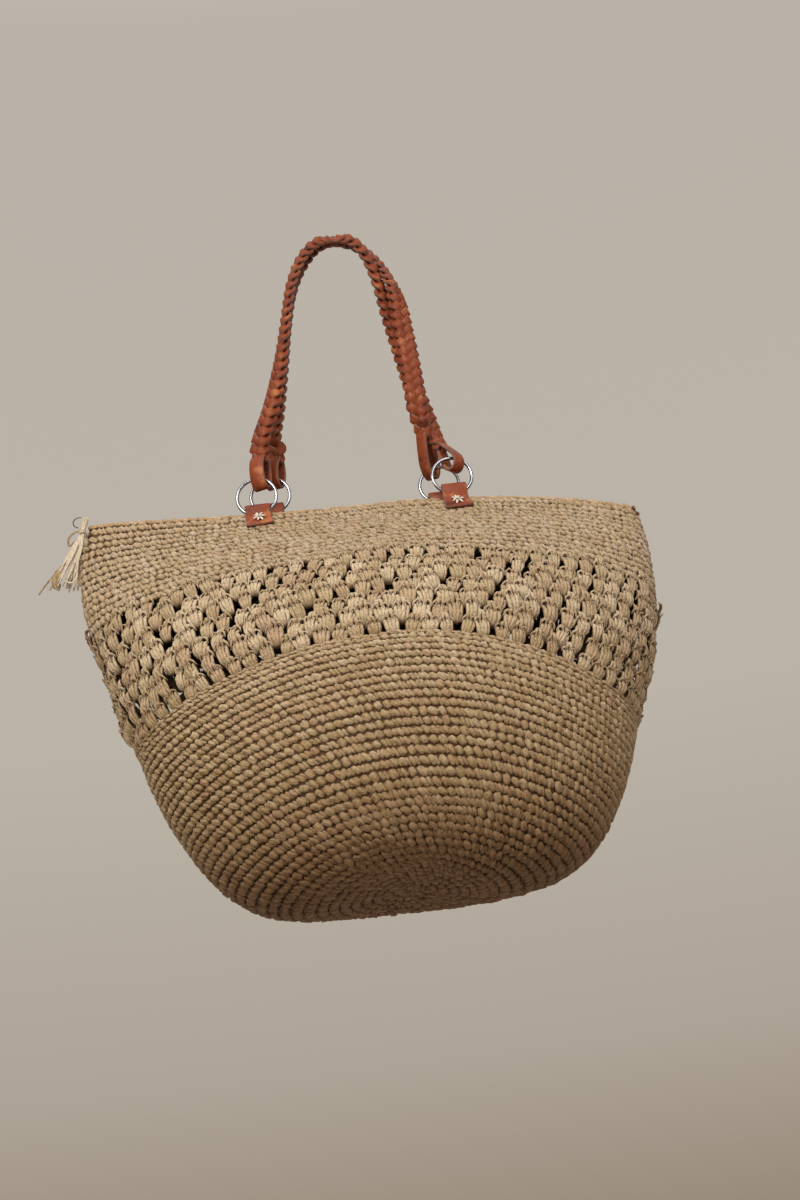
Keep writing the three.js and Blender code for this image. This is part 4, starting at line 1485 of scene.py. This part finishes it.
    def tab(self, ring: Seat) -> bpy.types.Object:
        """One leather tab, up the outside of the wall, over the ring's wire and down inside.

        Args:
            ring: The ring it holds.

        Returns:
            The piece.
        """
        place = self.seat(ring)
        rim, along, out = place["rim"], place["along"], place["out"]
        away = self.clearance + self.tab_leather / 2 + self.tab_lift
        low_out = self.step_down(rim[0], ring.side, self.tab_outside)
        low_in = self.step_down(rim[0], ring.side, self.tab_inside)
        bend = self.tab_fold + self.tab_leather / 2
        crown = place["fold_top"] - self.tab_fold - self.tab_leather
        path = [self.wall_point(3 - low_out * f, -away, rim[0], ring.side) for f in (1.0, 0.85, 0.7, 0.5, 0.25, 0.0)]
        if ring.lift > 0:
            path.append(rim + out * 2.9 * MM + (0, 0, (0.4 + 0.45 * ring.lift) * MM))
        for turn in np.linspace(0, math.pi, 13):
            point = rim + out * (bend * math.cos(turn))
            point[2] = crown + bend * math.sin(turn)
            path.append(point)
        path += [self.wall_point(3 - low_in * f, self.form.wall + away, rim[0], ring.side) for f in (0.0, 0.5, 1.0)]
        path = np.asarray(path)
        keep = [0]
        for n in range(1, len(path)):
            if np.linalg.norm(path[n] - path[keep[-1]]) > 0.4 * MM:
                keep.append(n)
        path = path[keep]
        ahead = np.gradient(path, axis=0)
        outward = np.cross(along * -ring.side, ahead)
        if np.dot(outward[0], out) < 0:
            outward = -outward
        gone = np.concatenate([[0.0], np.cumsum(np.linalg.norm(np.diff(path, axis=0), axis=1))])
        flare = np.clip(1 - gone / self.tab_outside, 0, 1) ** 1.4
        path = path + along * (1.6 * MM * flare)[:, None] + out * (0.8 * MM * flare**2)[:, None]
        data = MeshData()
        strap(data, path, outward, self.tab_width / 2 * (0.96 + 0.09 * flare), self.tab_leather / 2)
        self.star(ring, path, along, out)
        return self.fit(data, f"{ring.name}_tab_leather", self.leather, f"{ring.name}_tab")

    def star(self, ring: Seat, path: Array, along: Array, out: Array) -> None:
        """The pale straw stitches that hold a tab, worked as a star through one hole.

        Args:
            ring: The tab's ring.
            path: The tab's centre line.
            along: The way along the rim.
            out: The way out of the wall.
        """
        centre = path[0] * 0.3 + path[4] * 0.7
        up = unit(path[4] - path[0])
        along = along * (1 if ring.side < 0 else -1)
        out = unit(np.cross(along, up))
        centre = centre + out * (self.tab_leather / 2 + 0.35 * MM)
        data = MeshData()
        random = np.random.default_rng(200 + ring.side + int(ring.x * 100))
        for n in range(self.star_rays):
            turn = 2 * math.pi * (n + random.uniform(-0.25, 0.25)) / self.star_rays
            reach = random.uniform(0.7, 1.1)
            tip = along * (self.star_across * reach * math.cos(turn)) + up * (self.star_tall * reach * math.sin(turn))
            start = tip * 0.2
            shares = np.linspace(0, 1, 5)
            ray = np.stack([centre + start + (tip - start) * f + out * (0.9 * MM * math.sin(math.pi * f)) for f in shares])
            strand(data, ray, out, np.array([0.5, 0.8, 0.95, 0.9, 0.5]) * MM, 0.45 * MM, 6)
        piece = put(f"{ring.name}_stitches", data.mesh(f"{ring.name}_stitches"), self.thread)
        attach(piece, "root")

    def fit(self, data: MeshData, name: str, finish: bpy.types.Material, node: str) -> bpy.types.Object:
        """Makes a piece that is shown in place of a node.

        Args:
            data: Its mesh data.
            name: Its name.
            finish: Its material.
            node: The node it replaces.

        Returns:
            The piece.
        """
        piece = put(name, data.mesh(name), finish)
        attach(piece, "root")
        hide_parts(node)
        return piece

    def build(self) -> list:
        """Every ring, loop and tab."""
        return [make(ring) for ring in SEATS for make in (self.ring, self.loop, self.tab)]


@dataclass
class Handles:
    """The two handles, each a flat plait of three leather straps."""

    hardware: Hardware
    leather: bpy.types.Material
    width: float = 19 * MM
    thickness: float = 9 * MM
    step: float = 8.4 * MM
    swing: float = 5.7 * MM
    cross: float = 2.3 * MM
    strap_half: float = 3.7 * MM
    strap_depth: float = 1.35 * MM
    steps_a_period: int = 20

    def route(self, run: tuple, left: Seat, right: Seat) -> tuple:
        """The handle's centre line.

        Args:
            run: Rows of how high, how far along, how far back and which way the flat plait faces.
            left: The ring at its left end.
            right: The ring at its right end.

        Returns:
            Evenly spaced points, and the plait's sideways and facing directions there.
        """
        form = self.hardware.form
        spread = (SEATS[1].x - SEATS[0].x) * form.mouth_width / 4
        beside = self.width / 2 + self.hardware.clearance
        points = [
            np.array([across * spread, depth * beside, up * form.handle_drop + self.thickness / 2]) for up, across, depth, _ in run
        ]
        faces = [float(row[3]) for row in run]
        for ring, first in ((left, True), (right, False)):
            pose = self.hardware.loop_pose(ring)
            ends = [pose["top"] - pose["lean"] * 5 * MM, pose["top"] + pose["lean"] * self.step]
            face = -ring.loop_turn if first else ring.loop_turn
            points = ends + points if first else points + ends[::-1]
            faces = [face, face] + faces if first else faces + [face, face]
        points, faces = np.asarray(points), np.asarray(faces, float)
        dense, keys = [], []
        padded = np.concatenate([[2 * points[0] - points[1]], points, [2 * points[-1] - points[-2]]])
        for n in range(len(points) - 1):
            p0, p1, p2, p3 = padded[n : n + 4]
            d0, d1, d2 = (max(math.sqrt(float(np.linalg.norm(b - a))), 1e-6) for a, b in ((p0, p1), (p1, p2), (p2, p3)))
            t1 = ((p1 - p0) / d0 - (p2 - p0) / (d0 + d1) + (p2 - p1) / d1) * d1
            t2 = ((p2 - p1) / d1 - (p3 - p1) / (d1 + d2) + (p3 - p2) / d2) * d1
            t = np.linspace(0, 1, 40, endpoint=n == len(points) - 2)[:, None]
            dense.append(p1 + t * t1 + t**2 * (-3 * p1 + 3 * p2 - 2 * t1 - t2) + t**3 * (2 * p1 - 2 * p2 + t1 + t2))
            keys.append(n + t[:, 0])
        dense, keys = np.concatenate(dense), np.concatenate(keys)
        gone = np.concatenate([[0], np.cumsum(np.linalg.norm(np.diff(dense, axis=0), axis=1))])
        periods = gone[-1] / (3 * self.step)
        count = round(periods * self.steps_a_period)
        at = np.linspace(0, gone[-1], count + 1)
        line = np.stack([np.interp(at, gone, dense[:, c]) for c in range(3)], -1)
        turn = np.radians(smooth_column(np.arange(len(faces)), faces, np.interp(at, gone, keys)))
        ahead = unit(np.gradient(line, axis=0))
        outward = unit(np.cross((0, -1, 0), ahead))
        forward = unit(np.cross(ahead, outward))
        normal = forward * np.cos(turn)[:, None] + outward * np.sin(turn)[:, None]
        return line, np.cross(normal, ahead), normal, 2 * math.pi * np.linspace(0, periods, count + 1)

    def plait(self, name: str, node: str, run: tuple, left: Seat, right: Seat) -> bpy.types.Object:
        """One handle.

        Args:
            name: The piece's name.
            node: The node it replaces.
            run: The handle's run.
            left: The ring at its left end.
            right: The ring at its right end.

        Returns:
            The piece.
        """
        line, across, normal, phase = self.route(run, left, right)
        share = np.linspace(0, 1, len(line))
        gather = np.clip(np.minimum(share, 1 - share) * 24, 0, 1)
        gather = 0.75 + 0.25 * gather * gather * (3 - 2 * gather)
        over = np.clip((0.5 - share) * 36, -1, 1)
        data = MeshData()
        for ply in range(3):
            turn = phase + 2 * math.pi * ply / 3
            side = np.sin(turn)
            path = line + across * (self.swing * gather * side)[:, None]
            path = path + normal * (self.cross * gather * over * np.sin(2 * turn))[:, None]
            roll = side * np.abs(side) * 0.75
            outward = normal * np.cos(roll)[:, None] + across * np.sin(roll)[:, None]
            strap(data, path, outward, self.strap_half * (0.75 + 0.25 * gather), self.strap_depth)
        piece = put(name, data.mesh(name), self.leather)
        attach(piece, "root")
        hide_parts(node)
        return piece

    def build(self) -> list:
        """Both handles."""
        return [
            self.plait("front_handle_plait", "front_handle_braid", FRONT_RUN, SEATS[0], SEATS[1]),
            self.plait("back_handle_plait", "back_handle_braid", BACK_RUN, SEATS[2], SEATS[3]),
        ]


@dataclass
class Tassel:
    """The straw tassel at the rim's left-hand corner."""

    pale: bpy.types.Material
    tan: bpy.types.Material
    dark: bpy.types.Material
    tie: tuple = (-215.6, -3.0, -236.2)
    seed: int = 4

    def ribbon(self, data: MeshData, points: list, half_width: float, half_depth: float = 0.22, taper: float = 0.5) -> None:
        """Adds one flat strand through points in millimetres.

        Args:
            data: The mesh to grow.
            points: The points.
            half_width: Half its width.
            half_depth: Half its thickness.
            taper: How much its last quarter narrows.
        """
        path = bezier_path(points, 12) * MM
        share = np.linspace(0, 1, 12)
        width = half_width * MM * np.clip(1 - taper * np.clip((share - 0.75) * 4, 0, 1), 0.15, 1)
        strand(data, path, (0.25, -1, 0.1), width, half_depth * MM, 6)

    def build(self) -> list:
        """The bunch of pale strands with its tie, and the few tan and dark ones.

        Returns:
            The pieces.
        """
        random = np.random.default_rng(self.seed)
        tie = np.asarray(self.tie)
        pale, tan, dark = MeshData(), MeshData(), MeshData()
        for n in range(24):
            f = n / 23
            tip = np.array([-243.0 + 20.0 * f, -7.0 + 8.0 * random.random(), -275.5 - 5.5 * f])
            tip = tip + random.uniform(-1.5, 1.5, 3) * (1, 1, 3)
            start = tie + (random.uniform(-1.0, 1.0), random.uniform(-1.2, 1.2), 0)
            sway = (random.uniform(-1.5, 2.0) + 1.5 * f, random.uniform(-2.0, 1.0), random.uniform(-1.5, 1.5))
            bow = tie * 0.52 + tip * 0.48 + sway
            bend = start * 0.72 + bow * 0.28 + (0.4, 0, 0)
            self.ribbon(pale, [start + (0.2, 0, 3.0), start, bend, bow, tip], random.uniform(0.8, 1.35))
        for n in range(7):
            lean = (n - 3) * 0.75
            foot = tie + (lean * 0.35, random.uniform(-0.9, 0.9), -2.0)
            middle = tie + (1.6 + lean * 0.75, random.uniform(-1, 1), 7.0)
            end = tie + (2.6 + lean, random.uniform(-1, 1), 12.0 + random.uniform(-1, 1))
            self.ribbon(pale, [foot, tie + (lean * 0.4, 0.4, 1.0), middle, end], 0.8)
        for n in range(3):
            turns = np.linspace(0, 2 * math.pi, 15)[:-1]
            rise = tie[2] - 0.9 + 0.9 * n + 0.35 * np.cos(turns)
            ring = np.stack([tie[0] + 2.3 * np.cos(turns), tie[1] + 2.0 * np.sin(turns), rise], -1) * MM
            strap(pale, ring, (0, 0, 1), 0.45 * MM, 0.45 * MM, closed=True)
        self.ribbon(pale, [tie, (-216.6, -5.0, -250.0), (-219.6, -6.0, -262.0), (-220.3, -6.0, -271.0)], 0.95)
        self.ribbon(pale, [(-220.4, -5.5, -268.0), (-221.0, -6.5, -275.5), (-225.0, -6.5, -279.0), (-230.5, -5.5, -276.0)], 0.8)
        self.ribbon(pale, [tie, (-228.0, -4.0, -258.0), (-239.0, -4.0, -272.0), (-244.4, -3.5, -280.5)], 0.5)
        longest = [tie + (0, 0, 2), (-222.5, -2.0, -247.0), (-233.0, -2.0, -263.0), (-244.0, -2.5, -275.5), (-250.2, -3.0, -284.2)]
        self.ribbon(tan, longest, 0.75, taper=0.2)
        flat_tip = [(-233.0, -5.4, -268.0), (-236.4, -5.6, -273.5), (-236.2, -5.6, -279.5), (-234.6, -5.4, -284.0)]
        self.ribbon(tan, flat_tip, 3.1, taper=0.85)
        folded = [tie + (-0.5, 0, 1), (-221.5, -3.5, -236.0), (-226.4, -3.0, -240.5), (-226.0, -3.0, -247.0), (-222.0, -3.0, -243.0)]
        self.ribbon(tan, folded, 0.8)
        curl = [(-218.5, -3.2, -232.4), (-221.6, -3.2, -230.4), (-222.3, -3.2, -227.0), (-219.8, -3.2, -224.0), (-215.8, -3.2, -223.8)]
        self.ribbon(dark, curl, 0.42, 0.3, 0.3)
        self.ribbon(tan, [(-221.6, -5.0, -262.0), (-222.8, -5.4, -268.0), (-222.6, -5.2, -272.5)], 0.7)
        pieces = []
        for name, data, finish in (("tassel_pale", pale, self.pale), ("tassel_tan", tan, self.tan), ("tassel_dark", dark, self.dark)):
            piece = put(name, data.mesh(name), finish)
            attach(piece, "root")
            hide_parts("tassel")
            pieces.append(piece)
        return pieces


# The studio


@dataclass
class Studio:
    """The camera that took the photograph, the floor and the lights."""

    camera_at: tuple = (-25.7 * MM, -1138.5 * MM, -817.8 * MM)
    pitch: float = math.radians(23.58)
    roll: float = math.radians(7.38)
    yaw: float = math.radians(-2.16)
    lens: float = 50.0
    floor_level: float = -1.6
    sky: tuple = (
        (0.0, (0.24, 0.2, 0.155)),
        (0.03, (0.3, 0.245, 0.185)),
        (0.14, (0.42, 0.365, 0.305)),
        (0.34, (0.5, 0.455, 0.39)),
        (0.68, (0.49, 0.442, 0.388)),
        (0.95, (0.8, 0.78, 0.75)),
    )

    def camera(self) -> None:
        """Makes the camera and sets it as the scene's."""
        data = bpy.data.cameras.new("camera")
        data.lens, data.sensor_width, data.sensor_fit = self.lens, 36.0, "AUTO"
        data.clip_end = 50
        obj = bpy.data.objects.new("camera", data)
        bpy.context.scene.collection.objects.link(obj)
        right = np.array([math.cos(self.yaw), math.sin(self.yaw), 0.0])
        level = np.array([-math.sin(self.yaw), math.cos(self.yaw), 0.0])
        ahead = level * math.cos(self.pitch) + np.array([0, 0, math.sin(self.pitch)])
        up = np.cross(right, ahead)
        c, s = math.cos(self.roll), math.sin(self.roll)
        columns = (right * c - up * s, right * s + up * c, -ahead)
        matrix = np.eye(4)
        for n, column in enumerate(columns):
            matrix[:3, n] = column
        matrix[:3, 3] = self.camera_at
        obj.matrix_world = mathutils.Matrix(matrix.tolist())
        bpy.context.scene.camera = obj

    def floor(self) -> None:
        """A plain pale floor, well below the hanging bag."""
        mesh = bpy.data.meshes.new("floor")
        half = 6.0
        z = self.floor_level
        mesh.from_pydata([(-half, -half, z), (half, -half, z), (half, half, z), (-half, half, z)], [], [(0, 1, 2, 3)])
        n = Nodes("pale floor")
        place = n.add("ShaderNodeTexCoord").outputs["Object"]
        n.feed(n.skin, "Base Color", n.ramp(n.noise(place, 3.0), [(0.3, (0.46, 0.41, 0.35)), (0.7, (0.49, 0.44, 0.38))]))
        n.feed(n.skin, "Roughness", 0.9)
        put("floor", mesh, n.material)

    def lights(self) -> None:
        """Soft light from above and in front, over an even pale surround."""
        world = bpy.data.worlds.new("surround")
        world.use_nodes = True
        tree = world.node_tree
        background = tree.nodes["Background"]
        coords, split, ramp = (tree.nodes.new(kind) for kind in ("ShaderNodeTexCoord", "ShaderNodeSeparateXYZ", "ShaderNodeValToRGB"))
        tree.links.new(coords.outputs["Generated"], split.inputs[0])
        tree.links.new(split.outputs[2], ramp.inputs[0])
        tree.links.new(ramp.outputs[0], background.inputs["Color"])
        elements = ramp.color_ramp.elements
        while len(elements) < len(self.sky):
            elements.new(0.5)
        for element, (place, colour) in zip(elements, self.sky):
            element.position, element.color = place, (*colour, 1)
        bpy.context.scene.world = world
        for name, place, aim, size, power, colour in (
            ("key", (-0.9, -2.1, 0.6), (0, 0, -0.35), 0.8, 34.0, (1.0, 0.94, 0.85)),
            ("front", (0.8, -2.1, 0.5), (0, 0, -0.35), 1.0, 14.0, (1.0, 0.99, 0.97)),
            ("top", (0.2, -0.6, 2.0), (0, 0, -0.35), 1.4, 4.5, (1.0, 0.985, 0.965)),
        ):
            data = bpy.data.lights.new(name, "AREA")
            data.shape, data.size, data.energy, data.color = "DISK", size, power, colour
            obj = bpy.data.objects.new(name, data)
            bpy.context.scene.collection.objects.link(obj)
            back = unit(np.asarray(place, float) - np.asarray(aim, float))
            side = unit(np.cross((0, 0, 1), back))
            matrix = np.eye(4)
            matrix[:3, 0], matrix[:3, 1], matrix[:3, 2], matrix[:3, 3] = side, np.cross(back, side), back, place
            obj.matrix_world = mathutils.Matrix(matrix.tolist())

    def build(self) -> None:
        """Camera, floor and lights."""
        self.camera()
        self.floor()
        self.lights()
        bpy.context.scene.view_settings.view_transform = "Standard"


def main() -> None:
    """Builds the bag and the studio."""
    logging.basicConfig(level=logging.INFO, format="%(message)s", stream=sys.stdout, force=True)
    Studio().build()
    straw = Straw("raffia").material()
    # the core shows only in the gaps between stitches: its dark straw colours are painted shade there
    core = Straw(
        "raffia core", pale=(0.2, 0.13, 0.06), tan=(0.14, 0.085, 0.04), olive=(0.14, 0.09, 0.04), russet=(0.13, 0.07, 0.03)
    ).material()
    # the fans' strands start with painted shade at their feet
    fans = Straw("fan raffia", pale=(0.7, 0.56, 0.38), foot=5.5).material()
    # the band's straw gets painted shade over more of each strand's sides
    band = Straw("band raffia", pale=(0.58, 0.46, 0.32), groove_shade_from=0.54, groove_shade_to=0.95).material()
    rim = Straw(
        "rim raffia", pale=(0.66, 0.48, 0.3), tan=(0.5, 0.32, 0.17), olive=(0.48, 0.33, 0.16), russet=(0.46, 0.25, 0.13)
    ).material()
    pale = Straw(
        "pale raffia",
        pale=(0.86, 0.78, 0.64),
        tan=(0.8, 0.71, 0.56),
        olive=(0.78, 0.7, 0.53),
        russet=(0.78, 0.66, 0.52),
        fibre_and_groove_shade=(0.45, 0.36, 0.24),
        groove_shade_from=0.0,
        groove_shade_to=0.2,
    ).material()
    tan = Straw(
        "tan raffia",
        pale=(0.56, 0.45, 0.26),
        tan=(0.48, 0.37, 0.19),
        olive=(0.46, 0.37, 0.18),
        russet=(0.4, 0.28, 0.15),
        groove_shade_from=0.0,
        groove_shade_to=0.2,
    ).material()
    dark = Straw(
        "dark raffia",
        pale=(0.1, 0.075, 0.05),
        tan=(0.07, 0.05, 0.035),
        olive=(0.07, 0.05, 0.035),
        russet=(0.06, 0.04, 0.03),
        groove_shade_from=0.0,
        groove_shade_to=0.2,
    ).material()
    leather = Leather("cognac leather", edge_share=0.6).material()
    nickel = Nickel("bright nickel").material()
    form = BagForm()
    keep_off = [(ring.x * form.mouth_width / 2, ring.side, 12.5 * MM) for ring in SEATS]
    thread = Straw(
        "pale stitches",
        pale=(0.95, 0.91, 0.84),
        tan=(0.9, 0.85, 0.76),
        olive=(0.88, 0.83, 0.72),
        russet=(0.86, 0.8, 0.7),
        fibre_and_groove_shade=(0.5, 0.42, 0.3),
        groove_shade_from=0.0,
        groove_shade_to=0.15,
    ).material()
    hardware = Hardware(form, leather, nickel, thread)
    pieces = Crochet(form, Planter(), straw, core, rim, fans, band).build(keep_off)
    pieces += hardware.build()
    pieces += Handles(hardware, leather).build()
    pieces += Tassel(pale, tan, dark).build()
    for piece in pieces:
        LOG.info("%s: %d triangles", piece.name, sum(len(p.vertices) - 2 for p in piece.data.polygons))


if __name__ == "__main__":
    main()
